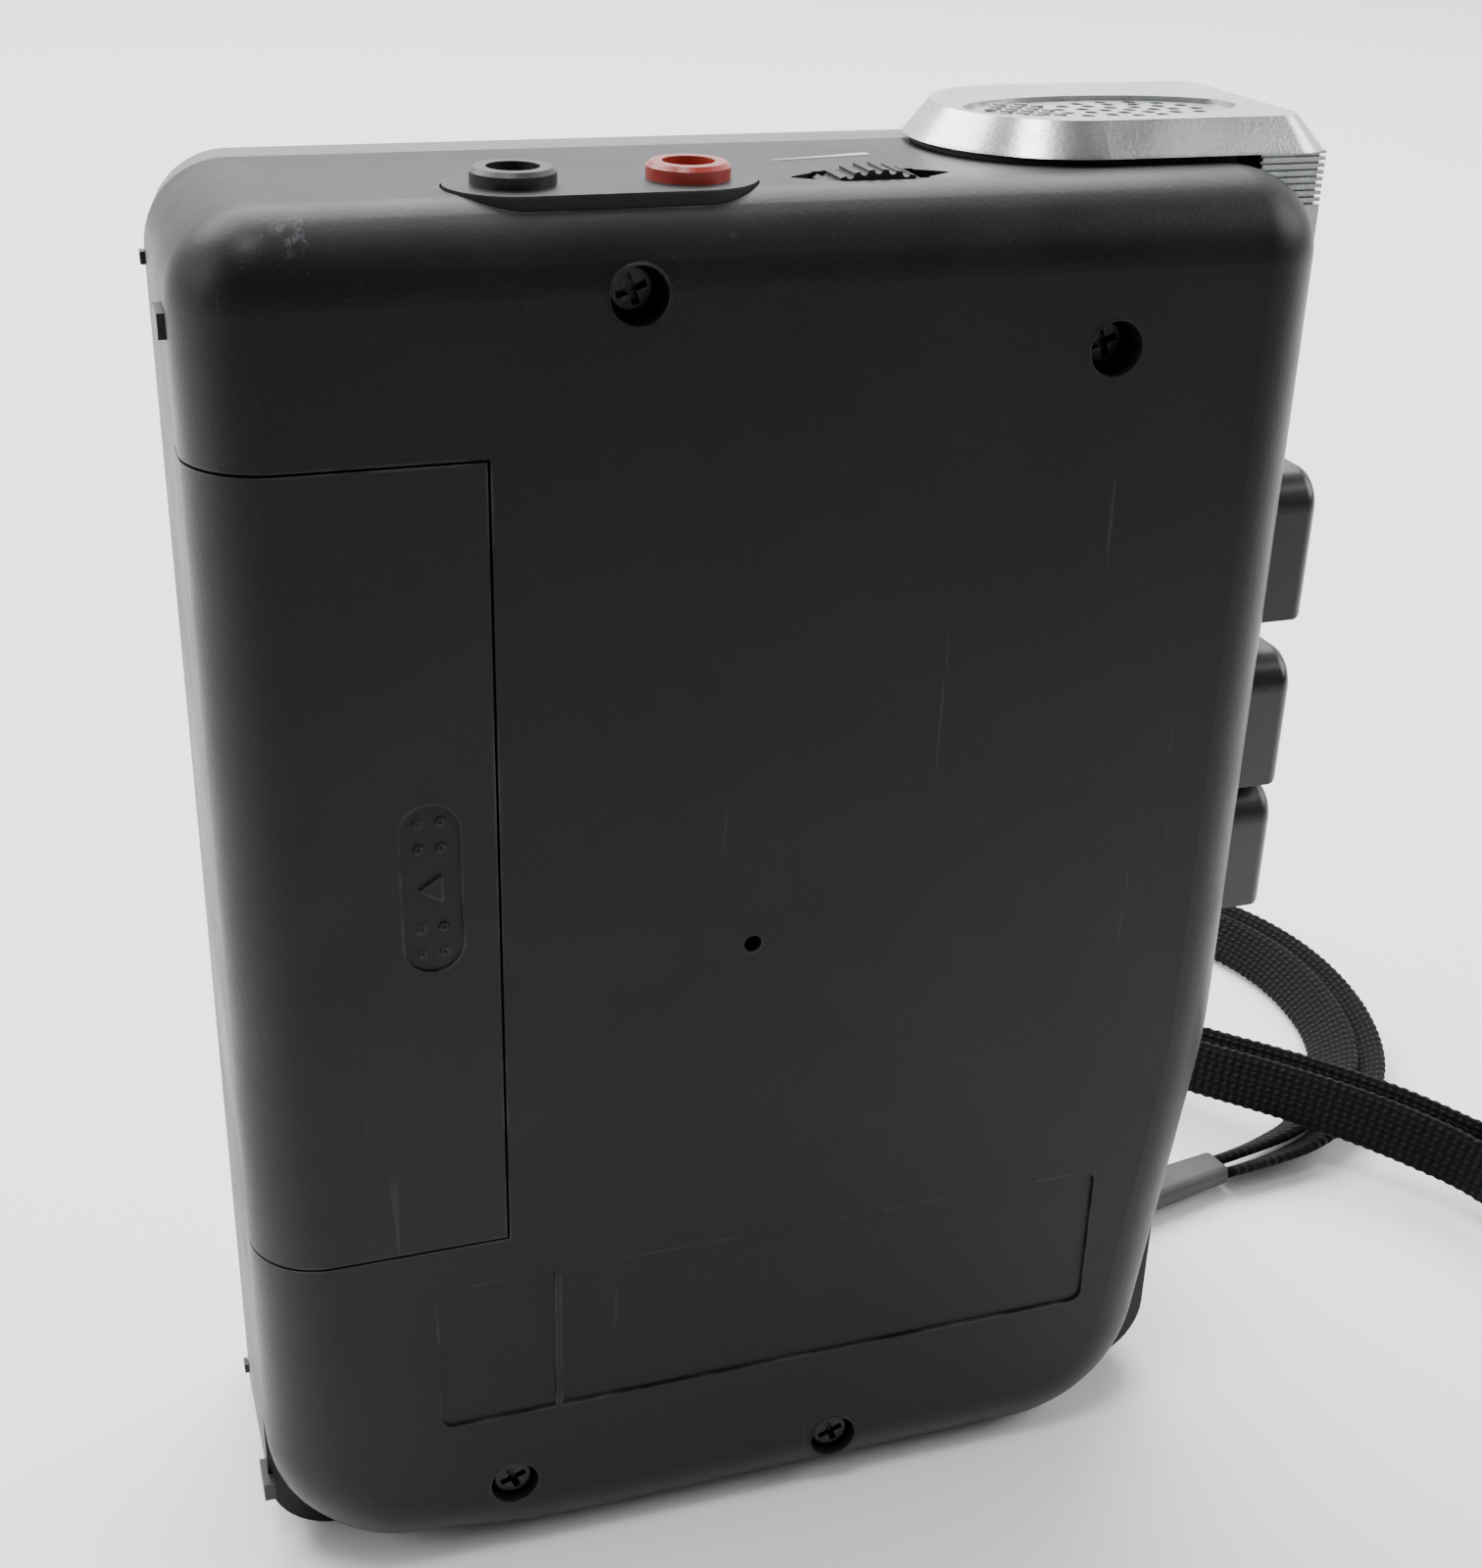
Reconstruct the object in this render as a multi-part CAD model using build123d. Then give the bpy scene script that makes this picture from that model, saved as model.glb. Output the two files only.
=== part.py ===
from build123d import *
import os
from math import atan2, cos, degrees, pi, radians, sin, sqrt, tan

# Small upright dictation recorder. Millimetres, +Z up. The back of the case faces +Y and the
# cassette lid faces -Y. The origin is the centre of the case's underside.

os.makedirs("parts", exist_ok=True)

# ---------------------------------------------------------------- case
body_width = 82.0
body_height = 112.0
rear_depth = 8.1
middle_depth = 13.4
front_depth = 11.5
outline_radius = 6.0
back_edge_radius = 5.7
front_edge_radius = 2.0
front_draw_in = 1.2
taper_top = 40.0
taper_blend = 60.0
foot_inset = 5.2
heel_rise = (9.0, 2.2)
heel_inset = (6.5, 22.0)
heel_radii = (11.0, 12.0, 50.0)
foot_radius = 12.5
wall = 1.5
clearance = 0.3
running = 0.05

body_depth = rear_depth + middle_depth + front_depth
side = body_width / 2
y_back = body_depth / 2
y_part = y_back - rear_depth
y_frame = y_part - middle_depth
y_front = -body_depth / 2
inside = side - wall

# ---------------------------------------------------------------- battery bay
cell_radius = 7.25
cell_length = 49.2
cell_button = 1.3
cell_gap = 0.2
bay_wall = 1.2
bay_bottom = 36.5
bay_play = 0.3
spring_length = 4.2
contact_thickness = 0.4
cover_bottom = 33.0
cover_height = 63.0
cover_width = 19.4
cover_travel = 6.0
cover_thickness = 1.4
grip_inset = 5.0
grip_rise = 31.7
grip_size = (4.3, 13.4)
grip_depth = 0.2

cell_x = inside - bay_play * 2 - cell_radius
cell_y = cell_radius + cell_gap / 2
bay_inner_x = cell_x - cell_radius - bay_play
bay_length = spring_length + cell_length + cell_button + contact_thickness * 2 + bay_play
bay_top = bay_bottom + bay_length
cover_inner_x = side - cover_width
cover_top = cover_bottom + cover_height
grip_x = cover_inner_x + grip_inset
grip_z = cover_bottom + grip_rise

# ---------------------------------------------------------------- sunk label panel on the back
label_size = (57.0, 13.8)
label_centre = (-1.0, 22.1)
label_depth = 0.25
label_short_field = 9.7

# ---------------------------------------------------------------- jacks and volume wheel on top
jack_bore_radius = 1.8
jack_collar_radius = 2.9
jack_collar_height = 1.1
jack_depth = 12.0
jack_body_width = 5.0
jack_y = 8.8
ear_jack_x = 18.0
mic_jack_x = 6.0
trimmer_place = (2.3, 56.5)
plate_radius = 4.7
plate_thickness = 1.2
plate_rise = 0.2
wheel_radius = 8.0
wheel_thickness = 3.0
wheel_x = -7.1
wheel_y = 9.0
wheel_proud = 0.6
wheel_teeth = 48
wheel_shaft_radius = 1.2
slot_half_length = 6.2
slot_half_width = 2.1

wheel_z = body_height + wheel_proud - wheel_radius

# ---------------------------------------------------------------- microphone cover
cover_end_radius = 10.8
mic_cover_y = -1.6
mic_cover_left = -14.6
mic_overhang = 3.1
mic_skirt_proud = 2.7
mic_skirt_reach = 2.6
mic_cover_height = 2.4
mic_bevel = 1.9
mic_corner_radius = 3.0
gasket_thickness = 0.5
mic_skirt_bottom = 100.0
mic_skirt_y = 8.2
mic_grille_x = -29.5
mic_grille_y = 0.8
mic_hole_radius = 0.5
mic_capsule_radius = 4.6
mic_capsule_length = 5.0

mic_base = body_height + gasket_thickness
mic_cover_right = -side - mic_overhang

# ---------------------------------------------------------------- keys
key_zones = {"record_key": (75.9, 88.0), "play_key": (61.1, 72.6), "stop_key": (49.6, 60.5)}
key_y_back = 10.5
key_y_front = 1.5
key_proud = 5.2
key_travel = 3.0
key_back_round = 3.0
key_rim_round = 1.1
key_stem_length = 5.0

# ---------------------------------------------------------------- tape mechanism
plate_y = -3.4
mech_thickness = 1.0
tape_x = 0.0
tape_z = 78.0
hub_pitch = 24.0
reel_radius = 5.6
reel_thickness = 1.4
spindle_radius = 2.1
spindle_length = 5.2
shaft_radius = 0.75
capstan_x = -14.5
capstan_z = 65.0
capstan_radius = 0.9
capstan_length = 6.6
flywheel_radius = 12.0
flywheel_thickness = 2.6
flywheel_back = 4.6
bush_radius = 2.2
roller_radius = 3.4
roller_length = 4.0
head_travel = 2.5
motor_radius = 8.5
motor_length = 4.2
motor_x = 9.0
motor_z = 56.0
pulley_radius = 2.0
pulley_thickness = 2.2
belt_thickness = 0.8

roller_x = capstan_x - capstan_radius - roller_radius - running - head_travel

# ---------------------------------------------------------------- cassette lid
lid_left = 18.0
lid_right = -34.0
lid_bottom = 50.0
lid_top = 107.0
lid_thickness = 1.6
lid_gap = 0.3
hinge_inset = 0.7
hinge_depth = 0.8
hinge_pin_radius = 0.5
hinge_pin_length = 1.2
window_size = (24.0, 34.0)
window_centre = (-4.0, 79.0)
rail_depth = 6.0

lid_centre = ((lid_left + lid_right) / 2, (lid_bottom + lid_top) / 2)
lid_size = (lid_left - lid_right, lid_top - lid_bottom)
hinge_x = lid_left - hinge_inset
hinge_y = y_front + hinge_depth

# ---------------------------------------------------------------- speaker
speaker_radius = 17.0
speaker_x = -9.0
speaker_z = 25.0
speaker_depth = 5.0
magnet_radius = 8.0
magnet_depth = 3.4
cone_radius = 14.5
grille_pitch = 3.2
grille_hole_radius = 0.8

# ---------------------------------------------------------------- fasteners
screw_places = [(11.5, 106.2), (-23.4, 100.8), (21.7, 7.9), (-6.6, 5.5)]
screw_recess_depths = [3.4, 3.4, 1.9, 1.9]
recess_radius = 2.0
rim_width = 0.16
rim_height = 0.05
boss_radius = 2.3
screw_head_radius = 1.75
screw_head_height = 1.2
screw_shank_radius = 0.9
screw_length = 9.0

# ---------------------------------------------------------------- wrist strap
strap_pin_inset = 1.6
strap_pin_y = -9.0
strap_pin_radius = 0.75
strap_pocket = ((-side - 1, -side + 4.1), (-12.2, -5.8), (2.2, 8.4))
sleeve_reach = (3.8, 22.7)
sleeve_drift = (0.6, 4.3)
sleeve_taper = (1.1, 0.3)
sleeve_width = 5.0
sleeve_thickness = 2.6
sleeve_z = 2.1
strap_tube_radius = 1.1

strap_pin_x = -side + strap_pin_inset
sleeve_start = (strap_pin_x - sleeve_reach[0], strap_pin_y - sleeve_drift[0])
sleeve_end = (strap_pin_x - sleeve_reach[1], strap_pin_y - sleeve_drift[1])


# ---------------------------------------------------------------- helpers
def box(x_range, y_range, z_range):
    """Axis-aligned block between pairs of coordinates."""
    low = [min(r) for r in (x_range, y_range, z_range)]
    high = [max(r) for r in (x_range, y_range, z_range)]
    size = [b - a for a, b in zip(low, high)]
    centre = [(a + b) / 2 for a, b in zip(low, high)]
    return Pos(*centre) * Box(*size)


def rod_y(x, z, radius, y_range):
    """Cylinder along Y."""
    length = abs(y_range[1] - y_range[0])
    middle = sum(y_range) / 2
    return Pos(x, middle, z) * Rot(90, 0, 0) * Cylinder(radius, length)


def rod_z(x, y, radius, z_range):
    """Cylinder along Z."""
    length = abs(z_range[1] - z_range[0])
    return Pos(x, y, sum(z_range) / 2) * Cylinder(radius, length)


def rod_x(y, z, radius, x_range):
    """Cylinder along X."""
    length = abs(x_range[1] - x_range[0])
    return Pos(sum(x_range) / 2, y, z) * Rot(0, 90, 0) * Cylinder(radius, length)


def slab_y(width, height, radius, centre, y_range):
    """Rounded rectangle in the XZ plane, extruded between two Y values."""
    low = min(y_range)
    length = abs(y_range[1] - y_range[0])
    sketch = RectangleRounded(width, height, radius)
    plane = Plane(origin=(centre[0], low, centre[1]), x_dir=(-1, 0, 0), z_dir=(0, 1, 0))
    return extrude(plane * sketch, length)


def case_slab(inset, y_range):
    """The case outline, drawn in by an inset, between two Y values."""
    radius = max(outline_radius - inset, 0.5)
    size = (body_width - 2 * inset, body_height - 2 * inset)
    return slab_y(size[0], size[1], radius, (0, body_height / 2), y_range)


def edges_at(solid, y):
    """Edges that lie in one plane of constant Y."""
    return [e for e in solid.edges() if abs(e.bounding_box().min.Y - y) < 1e-4
            and abs(e.bounding_box().max.Y - y) < 1e-4]


def finish(solid, name, colour=None):
    """Write one node."""
    solid.label = name
    export_step(solid, f"parts/{name}.step")
    return solid


def join(*solids):
    """Several separate solids kept in one node."""
    return Compound(children=list(solids))


# ---------------------------------------------------------------- shared cutters
def jack_plate_shape(grow, z_range):
    """Stadium around both jacks, seen from above."""
    centre_x = (ear_jack_x + mic_jack_x) / 2
    length = abs(ear_jack_x - mic_jack_x) + 2 * (plate_radius + grow)
    sketch = SlotOverall(length, 2 * (plate_radius + grow))
    return extrude(Pos(centre_x, jack_y, z_range[0]) * sketch, z_range[1] - z_range[0])


def top_cutters():
    """Openings that both cabinets share along the top: jack plate, jack bodies and volume slot."""
    plate_hole = jack_plate_shape(0.12, (body_height - plate_thickness, body_height + 3))
    cuts = [plate_hole]
    for x in (ear_jack_x, mic_jack_x):
        half = jack_body_width / 2 + clearance
        cuts.append(box((x - half, x + half), (jack_y - half, jack_y + half),
                        (body_height - 2 * wall, body_height)))
    slot = boat(slot_half_length, slot_half_width)
    cuts.append(extrude(Pos(wheel_x, wheel_y, body_height - wall - 1) * slot, wall + 3))
    return cuts


def boat(half_length, half_width):
    """Long opening with straight middle sides and pointed ends."""
    middle = half_length * 0.42
    corners = [(-half_length, 0), (-middle, half_width), (middle, half_width),
               (half_length, 0), (middle, -half_width), (-middle, -half_width)]
    outline = make_face(Polyline(*corners, close=True))
    return fillet(outline.vertices(), 0.4)


def key_cutters():
    """Slots in the right wall for the keys; the play and stop keys share one."""
    y_range = (key_y_front - clearance, key_y_back + clearance)
    record = key_zones["record_key"]
    play = key_zones["play_key"]
    stop = key_zones["stop_key"]
    slots = []
    for low, high in ((record[0], record[1]), (stop[0], play[1])):
        slots.append(box((-side - 1, -inside + 0.01), y_range, (low - clearance, high + clearance)))
    return slots


def battery_cutter():
    """The hole under the battery cover: part of the back, wrapping round the left side."""
    return box((cover_inner_x, side + 1), (y_part - 0.01, y_back + 1), (cover_bottom, cover_top))


def strap_cutter():
    return box(*strap_pocket)


# ---------------------------------------------------------------- case shells
def rear_outline():
    """Rear cabinet's outline: its right side leans in below taper_top, and both lower corners are big and soft."""
    corners = [(-side, heel_rise[0]), (-side + heel_inset[0], heel_rise[1]), (-side + heel_inset[1], 0),
               (side - foot_inset, 0), (side, taper_top), (side, body_height), (-side, body_height)]
    radii = [heel_radii[0], heel_radii[1], heel_radii[2], foot_radius, taper_blend, outline_radius, outline_radius]
    outline = make_face(Polyline(*corners, close=True))
    for (x, z), radius in zip(corners, radii):
        corner = outline.vertices().sort_by_distance((x, z, 0))[0]
        outline = fillet(corner, radius)
    return outline


def rear_shell_outer(inset):
    """Rear cabinet's outer form, rounded round the back; the inset gives its inner form."""
    depth = rear_depth - inset
    plane = Plane(origin=(0, y_part, 0), x_dir=(-1, 0, 0), z_dir=(0, 1, 0))
    outline = offset(rear_outline(), -inset) if inset else rear_outline()
    solid = extrude(plane * outline, depth)
    return fillet(edges_at(solid, y_part + depth), back_edge_radius - inset)


def front_form(inset, y_range):
    """Front frame's form: its top and sides draw in towards the front, its bottom stays level."""
    sections = []
    for y, draw in ((y_frame, 0), (y_front, front_draw_in)):
        sketch = RectangleRounded(body_width - 2 * (draw + inset), body_height - draw - 2 * inset,
                                  max(outline_radius - inset, 0.5))
        middle = (body_height - draw) / 2
        sections.append((Plane(origin=(0, y, middle), x_dir=(1, 0, 0), z_dir=(0, -1, 0)) * sketch).face())
    return loft(sections) & box((-side, side), y_range, (-1, body_height + 1))


def rear_cabinet():
    hollow = rear_shell_outer(wall)
    shell = rear_shell_outer(0) - hollow
    for (x, z), depth in zip(screw_places, screw_recess_depths):
        shell += rod_y(x, z, boss_radius, (y_part, y_back - wall / 2)) & rear_shell_outer(0)
        shell += rod_y(x, z, recess_radius + rim_width, (y_back - 0.5, y_back + rim_height))
        shell -= rod_y(x, z, recess_radius, (y_back - depth, y_back + 1))
        shell -= rod_y(x, z, screw_shank_radius + running, (y_part - 1, y_back))
    for cutter in top_cutters() + key_cutters():
        shell -= cutter
    shell -= battery_cutter()
    shell -= label_cutter()
    shell -= rod_y(*trimmer_place, 0.7, (y_back - 3, y_back + 1))
    return shell - wheel_room()


def wheel_room():
    """Space that the volume wheel turns in."""
    half = wheel_thickness / 2 + clearance
    return rod_y(wheel_x, wheel_z, wheel_radius + clearance, (wheel_y - half, wheel_y + half))


def label_cutter():
    """Shallow sunk panel on the back, in two fields with a thin rib between them."""
    panel = slab_y(label_size[0], label_size[1], 1.0, label_centre, (y_back - label_depth, y_back + 1))
    rib_x = label_centre[0] + label_size[0] / 2 - label_short_field
    z_low = label_centre[1] - label_size[1] / 2
    return panel - box((rib_x - 0.25, rib_x + 0.25), (y_back - 1, y_back + 1), (z_low, z_low + label_size[1]))


def middle_cabinet():
    shell = case_slab(0, (y_frame, y_part)) - case_slab(wall, (y_frame - 1, y_part + 1))
    post_length = y_part - y_frame - 5.0
    for x, z in screw_places:
        post = rod_y(x, z, boss_radius, (y_part - post_length, y_part))
        shell += post - rod_y(x, z, screw_shank_radius + running, (y_part - post_length - 1, y_part + 1))
        rib_z = (z, body_height - wall / 2) if z > body_height / 2 else (wall / 2, z)
        rib = box((x - 0.5, x + 0.5), (y_part - post_length, y_part - 1.5), rib_z)
        shell += rib - rod_y(x, z, boss_radius - 0.5, (y_frame, y_part))
    for cutter in top_cutters() + key_cutters():
        shell -= cutter
    return shell - wheel_room()


def front_frame():
    outer = fillet(edges_at(front_form(0, (y_front, y_frame)), y_front), front_edge_radius)
    shell = outer - front_form(wall, (y_front + wall, y_frame + 1))
    well = slab_y(lid_size[0] + 2 * lid_gap + 2, lid_size[1] + 2 * lid_gap + 2, 1.5, lid_centre,
                  (y_front + wall, y_frame))
    shell += well & front_form(wall - 0.1, (y_front + wall, y_frame))
    shell -= slab_y(lid_size[0] + 2 * lid_gap, lid_size[1] + 2 * lid_gap, 1.0, lid_centre,
                    (y_front - 1, y_frame + 1))
    for z in (lid_bottom - lid_gap, lid_top + lid_gap):
        shell -= rod_z(hinge_x, hinge_y, hinge_pin_radius + running, (z - 1.4, z + 1.4))
    for x, z in grille_places():
        shell -= rod_y(x, z, grille_hole_radius, (y_front - 1, y_front + wall + 1))
    ring = rod_y(speaker_x, speaker_z, speaker_radius + 1.3, (y_front + wall, y_front + wall + 3))
    ring -= rod_y(speaker_x, speaker_z, speaker_radius + 0.1, (y_front, y_front + wall + 4))
    shell += ring & front_form(wall - 0.1, (y_front + wall, y_frame))
    shell -= rod_y(27.0, 104.0, 1.05, (y_front - 1, y_front + wall + 1))
    shell -= strap_cutter()
    low, high = strap_pocket[2]
    shell += strap_housing(low, high)
    return shell - strap_pin()


def strap_housing(low, high):
    """Small closed box behind the strap pocket, so that the pocket has walls inside the frame."""
    x_range, y_range = strap_pocket[0], strap_pocket[1]
    outer = box((-inside - 0.1, x_range[1] + 1.0), (y_range[0] - 1, y_range[1] + 0.8), (low - 0.8, high + 1))
    outer &= front_form(wall - 0.3, (y_front, y_frame))
    hollow = box((-side, x_range[1]), y_range, (low, high))
    return outer - hollow


def grille_places():
    """Honeycomb of round holes over the speaker."""
    places = []
    row_height = grille_pitch * sqrt(3) / 2
    for row in range(-4, 5):
        shift = 0.5 * grille_pitch * (row % 2)
        for column in range(-4, 5):
            x = column * grille_pitch + shift
            z = row * row_height
            if x * x + z * z <= (cone_radius - 1.5) ** 2:
                places.append((speaker_x + x, speaker_z + z))
    return places


# ---------------------------------------------------------------- battery bay
def battery_cover():
    gap = 0.2
    form = rear_shell_outer(0) - rear_shell_outer(cover_thickness)
    reach = box((cover_inner_x + gap, side + 1), (y_part + gap, y_back + 1),
                (cover_bottom + gap, cover_top - gap))
    cover = form & reach
    floor = y_back - grip_depth
    cover -= slab_y(grip_size[0], grip_size[1], grip_size[0] / 2 - 0.05, (grip_x, grip_z), (floor, y_back + 1))
    for dz in (-5.2, -3.2, 3.2, 5.2):
        for dx in (-0.8, 0.8):
            cover += Pos(grip_x + dx, floor, grip_z + dz) * Sphere(0.42)
    corners = [(-0.9, 0), (0.8, 1.1), (0.8, -1.1)]
    arrow = make_face(Polyline(*corners, close=True))
    place = Plane(origin=(grip_x, floor + 0.25, grip_z), x_dir=(-1, 0, 0), z_dir=(0, 1, 0))
    return cover + extrude(place * arrow, -0.5)


def battery_bay():
    """Open-backed trough between the cells and the rest of the inside."""
    y_range = (y_front + wall, y_back - cover_thickness - clearance)
    outer = box((bay_inner_x - bay_wall, inside), y_range, (bay_bottom - bay_wall, bay_top + bay_wall))
    hollow = box((bay_inner_x, inside + 1), (y_range[0] - 1, y_range[1] + 1), (bay_bottom, bay_top))
    trough = outer - hollow
    rear_part = box((-side, side), (y_part, y_back), (0, body_height))
    trough -= rear_part - rear_shell_outer(wall + 0.05)
    front_part = box((-side, side), (y_front, y_frame), (0, body_height))
    trough -= front_part - front_form(wall + 0.05, (y_front, y_frame))
    return trough


def cell(y, up):
    """One AA cell: body with a raised button at one end."""
    base = bay_bottom + contact_thickness + (bay_play / 2)
    low = base + (spring_length if up else cell_button)
    solid = rod_z(cell_x, y, cell_radius, (low, low + cell_length))
    button_z = (low + cell_length, low + cell_length + cell_button) if up else (low - cell_button, low)
    return solid + rod_z(cell_x, y, 2.7, button_z)


def contact_springs():
    """Conical-style coil at the flat end of each cell, drawn as a stack of rings on a stem."""
    springs = []
    for y, up in ((cell_y, True), (-cell_y, False)):
        foot = bay_bottom + contact_thickness if up else bay_top - contact_thickness
        sign = 1 if up else -1
        reach = spring_length - 0.1
        coil_radius = 3.0
        wire = 0.35
        turns = 3
        solid = rod_z(cell_x, y, 0.5, sorted((foot, foot + sign * reach)))
        for turn in range(turns):
            z = foot + sign * (wire + turn * (reach - 2 * wire) / (turns - 1))
            ring_radius = coil_radius - 0.6 * turn
            solid += Pos(cell_x, y, z) * Torus(ring_radius, wire)
            solid += box((cell_x, cell_x + ring_radius), (y - wire / 2, y + wire / 2), (z - wire / 2, z + wire / 2))
        springs.append(solid)
    return join(*springs)


def contact_plates():
    """Flat contacts at both ends of the bay."""
    plates = []
    for low in (bay_bottom, bay_top - contact_thickness):
        plates.append(box((bay_inner_x + 1, inside - 1.6), (-cell_y - 5.5, cell_y + 5.0), (low, low + contact_thickness)))
    return join(*plates)


# ---------------------------------------------------------------- top controls
def jack_plate():
    plate = jack_plate_shape(0, (body_height - plate_thickness, body_height + plate_rise))
    for x in (ear_jack_x, mic_jack_x):
        plate -= rod_z(x, jack_y, jack_collar_radius, (body_height - plate_thickness - 1, body_height + 2))
    return plate


def jack_collar(x):
    """Flanged collar round one socket."""
    top = body_height + plate_rise + jack_collar_height
    collar = rod_z(x, jack_y, jack_collar_radius, (body_height - plate_thickness, top))
    collar = chamfer(collar.edges().filter_by(GeomType.CIRCLE).sort_by(Axis.Z)[-1:], 0.3)
    collar -= rod_z(x, jack_y, jack_bore_radius, (body_height - 5, top + 1))
    return collar


def jack_body(x):
    """Socket barrel under the collar, with its bore open at the top."""
    half = jack_body_width / 2
    top = body_height - plate_thickness
    body = box((x - half, x + half), (jack_y - half, jack_y + half), (top - jack_depth, top))
    body -= rod_z(x, jack_y, jack_bore_radius, (top - jack_depth + 1.0, top + 1))
    return body


def volume_wheel():
    """Knurled edge wheel on a horizontal shaft."""
    y_range = (wheel_y - wheel_thickness / 2, wheel_y + wheel_thickness / 2)
    wheel = rod_y(wheel_x, wheel_z, wheel_radius, y_range)
    for i in range(wheel_teeth):
        angle = 2 * pi * i / wheel_teeth
        x = wheel_x + wheel_radius * cos(angle)
        z = wheel_z + wheel_radius * sin(angle)
        wheel -= rod_y(x, z, 0.3, (y_range[0] - 1, y_range[1] + 1))
    wheel += rod_y(wheel_x, wheel_z, wheel_shaft_radius, (y_range[0] - 4.0, y_range[0]))
    return wheel


def volume_potentiometer():
    """Round control behind the wheel, bored for the wheel's shaft."""
    y_high = wheel_y - wheel_thickness / 2 - clearance
    pot = rod_y(wheel_x, wheel_z - 0.0, 5.2, (y_high - 3.6, y_high))
    pot += box((wheel_x - 3.5, wheel_x + 3.5), (y_high - 3.6, y_high - 2.6), (wheel_z - 7.4, wheel_z))
    pot -= rod_y(wheel_x, wheel_z, wheel_shaft_radius + running, (y_high - 5, y_high + 1))
    return pot


# ---------------------------------------------------------------- microphone
def mic_outline(inset):
    """Plan of the microphone cover: straight at the right, a round end at the left."""
    radius = cover_end_radius - inset
    right = mic_cover_right + inset
    centre = mic_cover_left - cover_end_radius
    block = Pos(right, mic_cover_y) * Rectangle(centre - right, 2 * radius, align=(Align.MIN, Align.CENTER))
    corners = [v for v in block.vertices() if v.X < right + 0.01]
    block = fillet(corners, max(mic_corner_radius - inset * 0.6, 0.6))
    return block + Pos(centre, mic_cover_y) * Circle(radius)


def mic_cover():
    """Bevelled silver cap with a sunk oval grille and a ribbed skirt down the right wall."""
    lower = Plane.XY.offset(mic_base) * mic_outline(0)
    upper = Plane.XY.offset(mic_base + mic_cover_height) * mic_outline(mic_bevel)
    cap = loft([lower.face(), upper.face()])
    top = mic_base + mic_cover_height
    oval = Pos(mic_grille_x + 0.9, mic_grille_y, top - 0.35) * Ellipse(11.0, 4.9)
    cap -= extrude(oval, 2)
    for x, y in mic_hole_places():
        cap -= rod_z(x, y, mic_hole_radius, (mic_base + 1, top + 1))
    for x, y in mic_bump_places():
        bump = box((x - 0.45, x + 0.45), (y - 0.16, y + 0.16), (top - 0.4, top - 0.17))
        cap += bump
    pocket = rod_z(mic_grille_x - 1.5, mic_grille_y, mic_capsule_radius + 0.4, (mic_base - 1, mic_base + 1.2))
    cap -= pocket
    skirt_low_y = mic_cover_y - cover_end_radius + 1.5
    skirt_x = (-side - mic_skirt_proud, -side + mic_skirt_reach)
    skirt = box(skirt_x, (skirt_low_y, mic_skirt_y), (mic_skirt_bottom, mic_base))
    skirt -= case_slab(-0.2, (y_front - 5, y_back))
    skirt -= box((-side + outline_radius - 1.5, side), (-side, side), (0, body_height + 3))
    skirt = chamfer(skirt.edges().filter_by(Axis.Y).group_by(Axis.X)[0].sort_by(Axis.Z)[:1], 1.0)
    for i in range(8):
        z = mic_base - 0.45 - 0.5 * i
        groove_z = (z, z + 0.22)
        skirt -= box((skirt_x[0] - 1, skirt_x[0] + 0.35), (skirt_low_y - 1, mic_skirt_y + 1), groove_z)
        skirt -= box((skirt_x[0] - 1, skirt_x[1]), (mic_skirt_y - 0.3, mic_skirt_y + 1), groove_z)
    return cap + skirt


def mic_bump_places():
    """Staggered short bumps on the left third of the oval face."""
    places = []
    for row in range(-3, 4):
        for column in range(3):
            x = mic_grille_x + 5.2 + 1.7 * column + 0.85 * (row % 2)
            if abs(row) < 3 or column < 2:
                places.append((x, mic_grille_y + 1.0 * row))
    return places


def mic_hole_places():
    """Rings of sound holes over the capsule."""
    centre = mic_grille_x - 1.5
    places = [(centre, mic_grille_y)]
    for long, short, count in ((2.0, 1.3, 6), (3.7, 2.6, 11), (5.6, 3.7, 15)):
        for i in range(count):
            angle = 2 * pi * (i + 0.5 * (count % 2)) / count
            places.append((centre + long * cos(angle), mic_grille_y + short * sin(angle)))
    return places


def mic_gasket():
    """Black rubber gasket between the cap and the case."""
    sheet = extrude(Pos(0, 0, body_height) * mic_outline(0.6), gasket_thickness)
    inner = extrude(Pos(0, 0, body_height - 1) * mic_outline(3.0), gasket_thickness + 2)
    edge = box((mic_cover_right - 1, -side + outline_radius - 0.9), (-side, side), (0, body_height * 2))
    return sheet - inner - edge


def mic_capsule():
    """Electret capsule held against the grille."""
    top = mic_base + 1.1
    x = mic_grille_x - 1.5
    return rod_z(x, mic_grille_y, mic_capsule_radius, (body_height + 0.1, top))


# ---------------------------------------------------------------- keys
def key(z_range):
    """Push key: rounded cap outside, flange and stem inside."""
    low, high = z_range
    outer_x = -side - key_proud
    cap = box((outer_x, -inside + 1.2), (key_y_front, key_y_back), (low, high))
    brow = [e for e in cap.edges().filter_by(Axis.X)
            if e.center().Z > high - 0.01 and e.center().Y > key_y_back - 0.01]
    cap = fillet(brow, key_back_round)
    outer_face = cap.faces().sort_by(Axis.X)[0]
    cap = fillet(outer_face.edges(), key_rim_round)
    middle = (low + high) / 2
    flange = box((-inside + clearance, -inside + 1.2), (key_y_front - 0.9, key_y_back - 1.0), (low, high))
    stem = box((-inside + 1.2, -inside + 1.2 + key_stem_length), (3.0, 6.0), (middle - 2, middle + 2))
    return cap + flange + stem


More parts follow.
